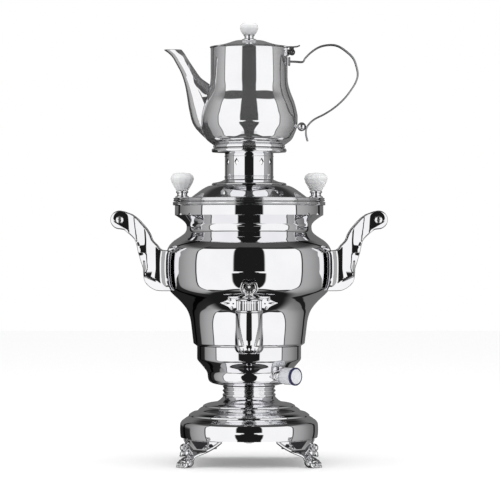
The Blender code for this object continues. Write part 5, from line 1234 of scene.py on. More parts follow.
@dataclass
class Handles:
    """The pads on the boiler, the cast arms with their relief, the rods and the caps."""

    boiler: Boiler
    pad: float = 4.0 * MM
    half_width: float = 34.0 * MM
    thickness: float = 8.0 * MM
    foot: Pair = (96.1 * MM, 189.5 * MM)
    eye: Pair = (141.0 * MM, 267.0 * MM)
    eye_radius: float = 10.2 * MM
    rod_radius: float = 7.0 * MM
    bevel: float = 1.0 * MM
    # Relief of the outer face: the flat drop round the eye, the two creases and the flat root
    drop_head: Pair = (139.9 * MM, 268.6 * MM)
    drop_tip: Pair = (131.3 * MM, 255.4 * MM)
    drop_radius: float = 7.8 * MM
    drop_slope: float = 0.27
    levels: tuple[float, ...] = (-2.1 * MM, 1.5 * MM, -1.3 * MM)
    twist: tuple[float, ...] = (244.0 * MM, 237.5 * MM, 231.5 * MM, 228.0 * MM)
    root: float = 101.2 * MM
    lip: Pair = (103.8 * MM, 201.9 * MM)

    def outline(self) -> list[Pair]:
        """The arm's outline in X and Z, for the side at +X."""
        top = curved(between(self.foot, self.eye, (
            (-0.3, 0.57), (0.0, 0.575), (0.12, 0.645), (0.228, 0.71), (0.288, 0.795), (0.364, 0.87),
            (0.47, 0.944), (0.59, 1.02), (0.741, 1.085),
        )), 4)
        loop = []
        for step in range(25):
            angle = math.radians(112.0 - 200.0 * step / 24)
            loop.append((
                self.eye[0] + self.eye_radius * math.cos(angle), self.eye[1] + self.eye_radius * math.sin(angle),
            ))
        under = curved(between(self.foot, self.eye, (
            (0.9, 0.86), (0.8, 0.813), (0.725, 0.775), (0.634, 0.711), (0.585, 0.63), (0.545, 0.523),
            (0.484, 0.4), (0.439, 0.316), (0.433, 0.25), (0.41, 0.147), (0.333, 0.081), (0.2, 0.026),
            (0.05, 0.0), (-0.3, 0.0),
        )), 4)
        return top + loop + under

    def creases(self, height: float) -> tuple[float, float]:
        """Where the outer and the inner crease are at a height."""
        middle = 234.0 * MM
        inner = 112.7 * MM + (height - middle) * 0.06 + max(214.0 * MM - height, 0.0) * 0.6
        return 119.0 * MM + (height - middle) * 0.2, inner

    def height_at(self, reach: float, height: float) -> float:
        """Height of the arm's relief.

        Args:
            reach: Distance from the samovar's axis along X.
            height: Height above the floor.

        Returns:
            How far the face stands out, or is drawn in where it is less than zero.
        """
        (head, above), (tip, below) = self.drop_head, self.drop_tip
        down = above - height
        flank = math.sqrt(max(self.drop_radius ** 2 - down ** 2, 0.0))
        share = min(max((down - 0.6 * self.drop_radius) / (above - below - 0.6 * self.drop_radius), 0.0), 1.0)
        out = head + flank if share == 0.0 else head + 0.8 * self.drop_radius * (1.0 - share) + (tip - head) * share
        within = head - flank if down < 0.0 else head - self.drop_radius + (tip - head + self.drop_radius) * min(
            down / (above - below), 1.0)
        drop = -self.drop_slope * max(reach - out, within - reach, 0.0)
        outer, inner = self.creases(height)
        low, crest, root = self.levels
        start, flat, end, below = self.twist
        turn = min(max((start - height) / (start - flat), 0.0), 1.0) * min(max((height - below) / (end - below), 0.0), 1.0)
        low += (crest - 0.1 * MM - low) * turn
        edge = radius_at(self.boiler.outline(), height) + self.pad + 0.9 * MM
        if reach >= outer:
            rise = max(drop, low - 0.4 * (reach - outer))
        elif reach >= inner:
            rise = low + (crest - low) * (outer - reach) / (outer - inner)
        elif reach >= self.root:
            rise = crest + (root - crest) * (inner - reach) / (inner - self.root)
        else:
            rise = min(root + 0.88 * max(edge - reach, 0.0), 3.6 * MM)
        under = self.lip[1] + 0.46 * (reach - self.lip[0]) - height
        if under > 0.0:
            share = min(under / (1.6 * MM), 1.0)
            rise += (-0.3 * (reach - 94.0 * MM) - 0.2 * under - rise) * share
        return rise

    def arm(self) -> bpy.types.Object:
        """One arm at +X with its outer face to -Y, cut round the pad.

        Returns:
            The arm, with its outer face on the half width.
        """
        arm = cut_sheet("arm", self.outline(), self.thickness)
        softened(arm, self.bevel, 4, 50)
        with editing(arm):
            for step in range(78):
                bpy.ops.mesh.select_all(action="SELECT")
                bpy.ops.mesh.bisect(plane_co=((90.0 + 0.8 * step) * MM, 0, 0), plane_no=(1.0, 0.0, 0.0))
            for level in range(188, 280):
                bpy.ops.mesh.select_all(action="SELECT")
                bpy.ops.mesh.bisect(plane_co=(0, 0, level * MM), plane_no=(0.0, 0.0, 1.0))

        def carve(point: Vector) -> Vector:
            """Moves the outer half of the plate by the relief, smoothed over a short reach."""
            if point.y > -0.2 * MM:
                return point
            rise = sum(self.height_at(point.x + step * 0.3 * MM, point.z) for step in (-2, -1, 0, 1, 2)) / 5
            share = min(1.0, -point.y / (self.thickness / 2 - self.bevel))
            return point + Vector((0, -rise * share, 0))

        moved(arm, carve)
        placed(arm, Matrix.Translation((0, -self.half_width + self.thickness / 2, 0)))
        core = [(r + self.pad + 2 * GAP, z) for r, z in self.boiler.outline()]
        core = [(0.0, core[0][1] - 2 * MM)] + core + [(0.0, core[-1][1])]
        combined(arm, spun("core", core, 192))
        bore = cylinder("bore", 2.5 * MM, (self.eye[0], -0.06, self.eye[1]), (self.eye[0], 0, self.eye[1]))
        return combined(arm, bore)

    def cap(self) -> bpy.types.Object:
        """The domed screw in the eye of an arm, with a crossed slot, facing -Y.

        Returns:
            The screw.
        """
        head = self.half_width + GAP
        screw = spun("cap", [
            (0.0, head - 14 * MM), (2.2 * MM, head - 14 * MM), (2.2 * MM, head), (4.0 * MM, head),
            (4.1 * MM, head + 0.5 * MM), (3.7 * MM, head + 1.0 * MM), (2.6 * MM, head + 1.4 * MM),
            (1.2 * MM, head + 1.75 * MM), (0.0, head + 1.85 * MM),
        ], 40)
        for size in ((4.2, 0.7), (0.7, 4.2)):
            slot = block("slot", (size[0] * MM, size[1] * MM, 0.8 * MM), (0, 0, head + 1.85 * MM))
            combined(screw, slot)
        placed(screw, Matrix.Rotation(math.pi / 2, 4, "X") @ Matrix.Rotation(math.radians(20), 4, "Z"))
        return placed(screw, Matrix.Translation((self.eye[0], 0, self.eye[1])))

    def rod(self) -> bpy.types.Object:
        """The bar between two arms, turned with a long swell and beads at its ends.

        Returns:
            The bar, lying along Y at +X.
        """
        half = self.half_width - self.thickness - GAP
        side = [(2.5, -half / MM), (5.2, -half / MM), (6.4, -half / MM + 0.8), (6.4, -half / MM + 2.0),
                (5.2, -half / MM + 2.9), (5.6, -half / MM + 4.2)]
        swell = [(5.6 + 1.4 * math.cos(math.radians(a)) ** 0.8, a / 90 * (half / MM - 4.4)) for a in range(-84, 85, 12)]
        outer = side + swell + [(r, -z) for r, z in reversed(side[1:])] + [(2.5, half / MM)]
        bar = spun("bar", [(r * MM, z * MM) for r, z in outer], 48)
        placed(bar, Matrix.Rotation(math.pi / 2, 4, "X"))
        return placed(bar, Matrix.Translation((self.eye[0], 0, self.eye[1])))

    def shoe(self) -> bpy.types.Object:
        """The pad between the arms and the boiler at +X, with rounded edges.

        Returns:
            The pad.
        """
        outline = self.boiler.outline()
        low, high = self.foot[1], self.foot[1] + 44.2 * MM
        rings = []
        for step in range(29):
            height = low + (high - low) * step / 28
            radius = radius_at(outline, height)
            swing = math.asin(self.half_width / radius)
            inner, outer = radius + GAP, radius + GAP + self.pad
            edge = 0.0 if 0 < step < 28 else 0.9 * MM
            narrow = math.asin((self.half_width - 4.4 * MM) / outer)
            shares = [2 * i / 32 - 1 for i in range(33)]
            ring = [(inner * math.cos(swing * a), inner * math.sin(swing * a), height) for a in shares]
            ring += [
                ((outer - edge) * math.cos(narrow * a), (outer - edge) * math.sin(narrow * a), height)
                for a in reversed(shares)
            ]
            rings.append(ring)
        return softened(lofted("shoe", rings), 0.8 * MM, 3, 50)

    def build(self) -> None:
        """Builds one side's pieces and copies them to the four corners."""
        arm, cap, rod, shoe = self.arm(), self.cap(), self.rod(), self.shoe()
        for side, side_name in ((1, "right"), (-1, "left")):
            for end, end_name in ((-1, "front"), (1, "rear")):
                name = end_name + "_" + side_name
                flip = Matrix.Diagonal((side, -end, 1.0, 1.0))
                finished(placed(copied(arm, "arm_" + name), flip), Body.SAMOVAR, Slot.CHROME, ["handle_arm_" + name])
                finished(placed(copied(cap, "screw_" + name), flip), Body.SAMOVAR, Slot.CHROME, ["handle_cap_" + name], finish=SATIN)
            flip = Matrix.Diagonal((side, 1.0, 1.0, 1.0))
            bar = placed(copied(rod, "bar_" + side_name), flip)
            finished(bar, Body.SAMOVAR, Slot.CHROME, ["handle_rod_" + side_name])
            pad = placed(copied(shoe, "shoe_" + side_name), flip)
            finished(pad, Body.SAMOVAR, Slot.CHROME, ["handle_pad_" + side_name])
        for spare in (arm, cap, rod, shoe):
            bpy.data.objects.remove(spare)


# Tap

@dataclass
class Tap:
    """The tap: its plate, ribbed valve body, winged key and hooded outlet."""

    reach: float = 105.0 * MM
    body_radius: float = 14.6 * MM
    body_low: float = 168.0 * MM
    body_high: float = 183.2 * MM
    plug_radius: float = 7.0 * MM
    plug_taper: float = 0.8 * MM
    ribs: int = 14
    hood_radius: float = 15.7 * MM
    hood_length: float = 43.3 * MM
    mouth_radius: float = 8.6 * MM
    bore_radius: float = 6.5 * MM
    key_width: float = 18.7 * MM
    key_height: float = 13.4 * MM
    plate_reach: float = 83.0 * MM
    plate_height: float = 177.6 * MM
    shank_height: float = 175.6 * MM

    def at_valve(self) -> Matrix:
        """Moves a shape from the samovar's axis to the valve's."""
        return Matrix.Translation((0, -self.reach, 0))

    def plate(self) -> None:
        """The cast plate behind the valve, with three-lobed wings."""
        upper = [
            (0.0, 9.6), (5.0, 9.4), (9.5, 8.4), (12.6, 6.4), (14.6, 5.2), (17.2, 4.8), (19.6, 5.2), (21.4, 5.9),
            (22.7, 5.2), (22.9, 3.9), (25.2, 2.4), (28.0, 1.2), (31.4, 0.1),
        ]
        lower = [
            (28.0, -1.5), (24.6, -3.0), (21.8, -4.6), (20.2, -6.6), (18.6, -7.6), (17.0, -6.9), (15.6, -5.6),
            (13.0, -5.6), (9.5, -7.6), (5.0, -9.2), (0.0, -9.4),
        ]
        right = curved(upper, 2) + curved(lower, 2)
        left = [(-x, z) for x, z in reversed(right[1:-1])]
        outline = [(x * MM, self.plate_height + z * MM) for x, z in right + left]
        plate = cut_sheet("back_plate", outline, 3.0 * MM)
        softened(plate, 1.2 * MM, 3, 40)
        placed(plate, Matrix.Translation((0, -self.plate_reach - GAP - 1.5 * MM, 0)))
        lobes = [plate]
        for side in (-1, 1):
            for x, z, size, stretch in (
                (24.6, -0.2, 1.5, (2.6, 0.6, 0.6)), (20.9, 3.4, 1.6, (1.1, 0.6, 0.8)), (18.6, -5.0, 1.5, (0.9, 0.6, 1.0)),
            ):
                centre = (side * x * MM, -self.plate_reach - 3.1 * MM, self.plate_height + z * MM)
                lobes.append(globe("lobe", size * MM, centre, stretch, 20))
        plate = gathered("back_plate", lobes)
        cast_in_one(plate, 0.32 * MM, 2)
        moved(plate, lambda p: p + Vector((0, 0.3 * max(abs(p.x) - 12.0 * MM, 0.0), 0)))
        for side in (-1, 1):
            for x, z, size in ((17.0, -0.6, 0.9), (23.4, -0.1, 0.7)):
                spot = (side * x * MM, self.plate_height + z * MM)
                combined(plate, cylinder("pit", size * MM, (spot[0], -90 * MM, spot[1]), (spot[0], -81.5 * MM, spot[1]), 20))
        combined(plate, cylinder(
            "bore", 5.3 * MM, (0, 0, self.shank_height), (0, -self.reach, self.shank_height),
        ))
        # The plate's back and sides get painted shade.
        painted_shade_back(finished(plate, Body.SAMOVAR, Slot.CHROME, ["tap_back_plate"]), -0.15)

    def valve(self) -> None:
        """The ribbed valve body with the neck that joins it to the shank."""
        low, high, radius = self.body_low, self.body_high, self.body_radius
        side = eased([
            (self.plug_radius - self.plug_taper + 0.25 * MM, low), (radius - 0.6 * MM, low),
            (radius, low + 0.9 * MM), (radius, low + 1.9 * MM), (radius - 0.7 * MM, low + 2.6 * MM),
            (radius - 0.7 * MM, high - 3.0 * MM), (radius - 0.1 * MM, high - 2.2 * MM),
            (radius - 0.1 * MM, high - 1.2 * MM), (radius - 1.2 * MM, high), (self.plug_radius + 0.25 * MM, high),
        ], 0.35 * MM)
        body = spun("valve", side, 168)
        with editing(body):
            for step in range(1, 4):
                bpy.ops.mesh.select_all(action="SELECT")
                level = low + 2.6 * MM + (high - low - 5.6 * MM) * step / 4
                bpy.ops.mesh.bisect(plane_co=(0, 0, level), plane_no=(0, 0, 1))

        def rib(point: Vector) -> Vector:
            """Draws the body in between its ribs, away from its two rims."""
            radius_here = math.hypot(point.x, point.y)
            inside = min(point.z - low - 2.2 * MM, high - 2.6 * MM - point.z)
            if radius_here < self.body_radius - 1.5 * MM or inside < 0.0:
                return point
            wave = 1.0 - abs(math.cos(self.ribs / 2 * math.atan2(point.x, -point.y)))
            share = 1.0 - 1.7 * MM * wave / radius_here
            return Vector((point.x * share, point.y * share, point.z))

        moved(body, rib)
        placed(body, self.at_valve())
        neck = cylinder("neck", 7.0 * MM, (0, -86.6 * MM, self.shank_height), (0, -97.0 * MM, self.shank_height))
        combined(body, neck, "UNION")
        bore = cylinder("bore", 5.3 * MM, (0, 0, self.shank_height), (0, -92 * MM, self.shank_height))
        combined(body, bore)
        way = cylinder("way", 2.8 * MM, (0, 0, self.shank_height), (0, -self.reach, self.shank_height))
        combined(body, way)
        plug = spun("plug", [
            (0.0, low - 2 * MM), (self.plug_radius - self.plug_taper + 0.25 * MM, low - 2 * MM),
            (self.plug_radius - self.plug_taper + 0.25 * MM, low), (self.plug_radius + 0.25 * MM, high),
            (self.plug_radius + 0.25 * MM, high + 2 * MM), (0.0, high + 2 * MM),
        ], SMALL)
        combined(body, placed(plug, self.at_valve()))
        finished(body, Body.SAMOVAR, Slot.CHROME, ["tap_body"])

    def key(self) -> None:
        """The plug with its winged handle, two holes and petals at its root."""
        low, high = self.body_low + GAP, self.body_high
        plug = spun("plug", eased([
            (0.0, low), (self.plug_radius - self.plug_taper, low), (self.plug_radius, high),
            (self.plug_radius, high + 1.0 * MM), (5.2 * MM, high + 2.0 * MM), (3.6 * MM, high + 3.4 * MM),
            (3.8 * MM, high + 5.4 * MM), (0.0, high + 5.4 * MM),
        ], 0.4 * MM), SMALL)
        start = high + 0.8 * MM
        half = curved([(x * MM, start + z * MM) for x, z in (
            (0.0, 3.2), (2.6, 3.8), (5.0, 4.3), (7.2, 4.9), (8.7, 6.7), (9.2, 10.0), (8.9, 13.2), (7.6, 16.0),
            (4.7, 16.6), (2.2, 15.9), (0.0, 14.8),
        )], 3)
        outline = half + [(-x, z) for x, z in reversed(half[1:-1])]
        shield = cut_sheet("shield", outline, 3.6 * MM)
        softened(shield, 1.2 * MM, 4, 40)
        middle = start + 10.2 * MM
        hollow = [(x * 0.76, middle + (z - middle) * 0.74) for x, z in outline]
        inlay = placed(cut_sheet("inlay", hollow, 2.0 * MM), Matrix.Translation((0, -2.2 * MM, 0)))
        combined(shield, inlay)
        petals = [plug, shield, globe("crest", 1.3 * MM, (0, -0.8 * MM, start + 11.2 * MM), (0.8, 0.8, 1.1), 24)]
        for side in (-1, 1):
            petals.append(globe("petal", 2.3 * MM, (side * 2.75 * MM, -1.4 * MM, start + 2.6 * MM), (0.84, 1.1, 1.7), 24))
            rib = tube("streak", [
                Vector((side * 6.6 * MM, -1.2 * MM, start + 9.0 * MM)), Vector((side * 5.2 * MM, -1.4 * MM, start + 6.6 * MM)),
                Vector((side * 3.4 * MM, -1.4 * MM, start + 4.6 * MM)),
            ], [0.8 * MM, 0.9 * MM, 0.7 * MM], 12)
            petals.append(rib)
        key = gathered("tap_key_wing", petals)
        cast_in_one(key, 0.3 * MM, 2)
        for side in (-1, 1):
            rise, offset = start + 12.6 * MM, side * 4.7 * MM
            combined(key, cylinder("hole", 1.5 * MM, (offset, -8 * MM, rise), (offset, 8 * MM, rise), 32))
        cross = cylinder("cross", 2.8 * MM, (-20 * MM, 0, self.shank_height), (0, 0, self.shank_height))
        combined(key, cross)
        drop = cylinder("drop", 2.8 * MM, (0, 0, low - 4 * MM), (0, 0, self.shank_height + 1.4 * MM))
        combined(key, drop)
        # The key's back gets painted shade.
        painted_shade_back(finished(placed(key, self.at_valve()), Body.KEY, Slot.CHROME, ["tap_key"], finish=SATIN))

    def hood_radius_at(self, angle: float, down: float) -> float:
        """Radius of the hood at an angle from its front and a share of its length.

        Args:
            angle: Angle from -Y, in radians.
            down: Share of the length, 0 at the top.

        Returns:
            The radius.
        """
        swell = 14.9 + 0.8 * math.sin(min(down / 0.68, 1.0) * math.pi / 2)
        if down > 0.8:
            turn = (down - 0.8) / 0.2
            swell = 8.6 + (swell - 8.6) * math.sqrt(max(1.0 - turn ** 2.4, 0.0))
        radius = swell * MM
        degrees = abs(math.degrees(math.atan2(math.sin(angle), math.cos(angle))))
        panel = 54.0 - 34.0 * min(down / 0.8, 1.0)
        edge = min(max((panel - degrees) / 3.0 + 0.5, 0.0), 1.0)
        fade = min(max((0.82 - down) / 0.03, 0.0), 1.0) * min(max((down - 0.02) / 0.03, 0.0), 1.0)
        radius += (edge * edge * (3 - 2 * edge) - 0.75) * 0.95 * MM * fade
        if degrees > panel:
            flute = 0.5 - 0.5 * math.cos(math.radians((degrees - panel) * 360.0 / 31.0))
            radius -= 0.5 * MM * flute * fade
        if 0.84 < down < 0.97:
            facet = (degrees % 24.0) / 24.0 - 0.5
            radius -= 0.35 * MM * (2 * abs(facet)) ** 6
        return radius

    def outlet(self) -> None:
        """The hooded outlet: a raised tapering panel in front and flutes round its sides."""
        top = self.body_low - GAP
        rows = [step / 72 for step in range(72)] + [0.995, 1.0]
        rings = []
        for down in rows:
            ring = []
            for column in range(180):
                angle = column / 180 * math.tau
                radius = self.hood_radius_at(angle, down)
                ring.append((radius * math.sin(angle), -radius * math.cos(angle), top - self.hood_length * down))
            rings.append(ring)
        low = top - self.hood_length
        for radius, height in (
            (self.bore_radius + 0.4 * MM, low - 0.0 * MM), (self.bore_radius, low + 0.5 * MM), (self.bore_radius, top),
        ):
            rings.append([(
                radius * math.sin(column / 180 * math.tau), -radius * math.cos(column / 180 * math.tau), height,
            ) for column in range(180)])
        rings.append(rings[0])
        hood = lofted("hood", rings, capped=False)
        finished(placed(hood, self.at_valve()), Body.SAMOVAR, Slot.CHROME, ["tap_outlet"])

    def build(self) -> None:
        """Builds the tap."""
        self.plate()
        self.valve()
        self.key()
        self.outlet()


# Lid of the boiler, with its grips

@dataclass
class Lid:
    """The boiler's lid and the faceted grips on it."""

    seat: float = 287.5 * MM
    rim: float = 83.4 * MM
    band: float = 4.0 * MM
    dome: float = 64.0 * MM
    top: Pair = (41.3 * MM, 305.2 * MM)
    wall: float = 1.2 * MM
    opening: float = 22.0 * MM
    spigot: float = 78.9 * MM
    grip_reach: float = 73.7 * MM
    facets: int = 12

    def cover(self) -> None:
        """The lid with its double rim bead, its dome and the spigot under it."""
        low, high = self.seat, self.seat + self.band
        rim = [
            (self.rim - 1.9 * MM, low), (self.rim - 0.5 * MM, low), (self.rim, low + 0.5 * MM),
            (self.rim, low + 1.5 * MM), (self.rim - 0.7 * MM, low + 1.9 * MM), (self.rim - 0.7 * MM, low + 2.3 * MM),
            (self.rim - 0.1 * MM, low + 2.7 * MM), (self.rim - 0.2 * MM, low + 3.5 * MM),
            (self.rim - 1.0 * MM, high), (self.dome + 3.0 * MM, high + 0.1 * MM),
        ]
        shoulder = curved(between((self.dome, high), self.top, (
            (0.0, 0.03), (0.187, 0.263), (0.52, 0.664), (0.8, 0.92), (1.0, 1.0),
        )), 7)
        inner = inward(shoulder, self.wall)
        outer = eased(rim, 0.35 * MM) + shoulder + [(self.opening, self.top[1])]
        under = [(self.opening, self.top[1] - self.wall)] + [p for p in reversed(inner) if p[0] > self.opening]
        under += [
            (self.spigot - self.wall, high - self.wall), (self.spigot - self.wall, low - 6.5 * MM),
            (self.spigot - 0.5 * MM, low - 6.5 * MM), (self.spigot, low - 5.9 * MM), (self.spigot, low + 1.2 * MM),
            (self.rim - 1.9 * MM, low + 1.2 * MM),
        ]
        cover = spun("lid_cover", outer + under, FINE)
        finished(cover, Body.LID, Slot.CHROME, ["boiler_lid"])

    def grip(self) -> bpy.types.Object:
        """A clear faceted grip on the axis, hollowed where its screw goes.

        Returns:
            The grip, with its foot at its height.
        """
        low, size, height = 299.3 * MM, 13.3 * MM, 19.8 * MM
        outer = between((0.0, low), (size, low + height), (
            (0.47, 0.0), (0.53, 0.03), (0.62, 0.14), (0.9, 0.46), (1.0, 0.68), (0.92, 0.84), (0.66, 0.97),
            (0.0, 1.0),
        ))
        grip = spun("grip", [(0.0, low)] + outer, self.facets)
        placed(grip, Matrix.Rotation(math.pi / self.facets, 4, "Z"))
        softened(grip, 0.35 * MM, 2, 12)
        bore = spun("bore", [
            (0.0, low - MM), (2.2 * MM, low - MM), (2.2 * MM, low + 9.5 * MM), (1.4 * MM, low + 10.6 * MM),
            (0.0, low + 11.0 * MM),
        ], 24)
        return combined(grip, bore)

    def ferrule(self) -> bpy.types.Object:
        """The turned ferrule under a grip, with the screw that enters the grip.

        Returns:
            The ferrule, with its foot at its height.
        """
        low = 291.8 * MM
        outer = eased([(r * MM, low + h * MM) for r, h in (
            (7.6, 0.0), (7.6, 1.15), (6.9, 1.35), (6.2, 1.9), (5.62, 2.2), (5.62, 4.4), (6.6, 5.3), (6.84, 5.8),
            (6.84, 6.5), (6.54, 7.2), (2.0, 7.2),
        )], 0.3 * MM)
        screw = [(2.0 * MM, low + 16.0 * MM), (1.2 * MM, low + 17.2 * MM), (0.0, low + 17.2 * MM)]
        return spun("ferrule", [(0.0, low)] + outer + screw, SMALL)

    def build(self) -> None:
        """Builds the lid and sets its two grips."""
        self.cover()
        grip, ferrule = self.grip(), self.ferrule()
        for side, side_name in ((1, "right"), (-1, "left")):
            place = Matrix.Translation((side * self.grip_reach, 0, 0))
            clear = placed(copied(grip, "lid_knob_" + side_name), place)
            finished(clear, Body.LID, Slot.ACRYLIC, ["lid_grip_" + side_name], 8)
            foot = placed(copied(ferrule, "lid_collet_" + side_name), place)
            finished(foot, Body.LID, Slot.CHROME, ["lid_grip_" + side_name + "_ferrule"])
        for spare in (grip, ferrule):
            bpy.data.objects.remove(spare)


# Crown and tray

@dataclass
class Crown:
    """The crown with its skirt and vents, and the tray that the teapot stands on."""

    low: float = 305.5 * MM
    high: float = 341.5 * MM
    seat: float = 41.3 * MM
    radius: float = 26.7 * MM
    wall: float = 1.2 * MM
    skirt: float = 6.2 * MM
    spigot: float = 21.5 * MM
    vent_height: float = 331.0 * MM
    vents: tuple[float, ...] = (46.0, 134.0, -46.0, -134.0)
    tray: float = 41.3 * MM
    tray_low: float = 341.8 * MM
    tray_high: float = 345.8 * MM

    def shell(self) -> None:
        """The crown: a rolled foot, a flared skirt, a straight wall with beads, and diamond vents."""
        skirt = curved(between((self.seat, self.low), (self.radius, self.low + self.skirt), (
            (0.0, 0.16), (0.09, 0.36), (0.4, 0.5), (0.62, 0.62), (0.9, 0.88), (1.0, 1.0),
        )), 4)
        side = [(self.seat - 0.6 * MM, self.low), (self.seat, self.low + 0.35 * MM)] + skirt
        for level, rise in ((313.6, 0.5), (315.0, 0.5), (337.2, 0.45)):
            side += [(self.radius, level * MM - 0.65 * MM)]
            side += [
                (self.radius + rise * MM * math.sin(math.radians(a)), (level - 0.55 * math.cos(math.radians(a))) * MM)
                for a in range(0, 181, 30)
            ]
        side.append((self.radius, self.high - 0.4 * MM))
        side.append((self.radius - 0.3 * MM, self.high))
        inner = [(self.radius - self.wall, self.high), (self.radius - self.wall, self.low + self.skirt - 0.6 * MM)]
        inner += [(self.seat - 6.5 * MM, self.low + 1.2 * MM), (self.spigot, self.low + 1.2 * MM)]
        inner += [
            (self.spigot, self.low - 4.5 * MM), (self.spigot - self.wall, self.low - 4.5 * MM),
            (self.spigot - self.wall, self.low), (self.spigot, self.low),
        ]
        shell = spun("crown_wall", side + inner[:3] + [
            (self.spigot - self.wall, self.low + 1.2 * MM), (self.spigot - self.wall, self.low - 4.5 * MM),
            (self.spigot, self.low - 4.5 * MM), (self.spigot, self.low),
        ], FINE)
        for angle in self.vents:
            for offset in (-15.0, 15.0):
                half = (2.7 * MM, 4.1 * MM)
                vent = cut_sheet("vent", [
                    (half[0], self.vent_height), (0.0, self.vent_height + half[1]),
                    (-half[0], self.vent_height), (0.0, self.vent_height - half[1]),
                ], 20 * MM)
                placed(vent, Matrix.Translation((0, -self.radius - 2 * MM, 0)))
                combined(shell, placed(vent, Matrix.Rotation(math.radians(angle + offset), 4, "Z")))
        finished(shell, Body.CROWN, Slot.CHROME, ["crown_shell"])

    def dish(self) -> None:
        """The tray: a plate with a rolled rim, a raised ring and a spigot into the crown."""
        low, high, edge, plate = self.tray_low, self.tray_high, self.tray, 1.4 * MM
        roll = [
            (edge - 1.5 * MM + 1.5 * MM * math.cos(math.radians(a)), high - 2.2 * MM + 2.2 * MM * math.sin(math.radians(a)))
            for a in range(-60, 91, 15)
        ]
        top = [(edge - 2.6 * MM, high - 0.9 * MM), (edge - 3.4 * MM, low + plate + 0.1 * MM),
               (24.0 * MM, low + plate), (23.2 * MM, low + plate + 0.5 * MM), (21.6 * MM, low + plate + 0.5 * MM),
               (20.8 * MM, low + plate), (12.0 * MM, low + plate)]
        under = [(12.0 * MM, low), (24.0 * MM, low), (24.0 * MM, low - 6.0 * MM), (25.0 * MM, low - 6.0 * MM),
                 (25.2 * MM, low - 5.6 * MM), (25.2 * MM, low), (edge - 2.6 * MM, low)]
        tray = spun("crown_dish", roll + eased(top, 0.5 * MM) + under, FINE)
        finished(tray, Body.CROWN, Slot.CHROME, ["crown_tray"])

    def build(self) -> None:
        """Builds the crown and its tray."""
        self.shell()
        self.dish()


# Teapot

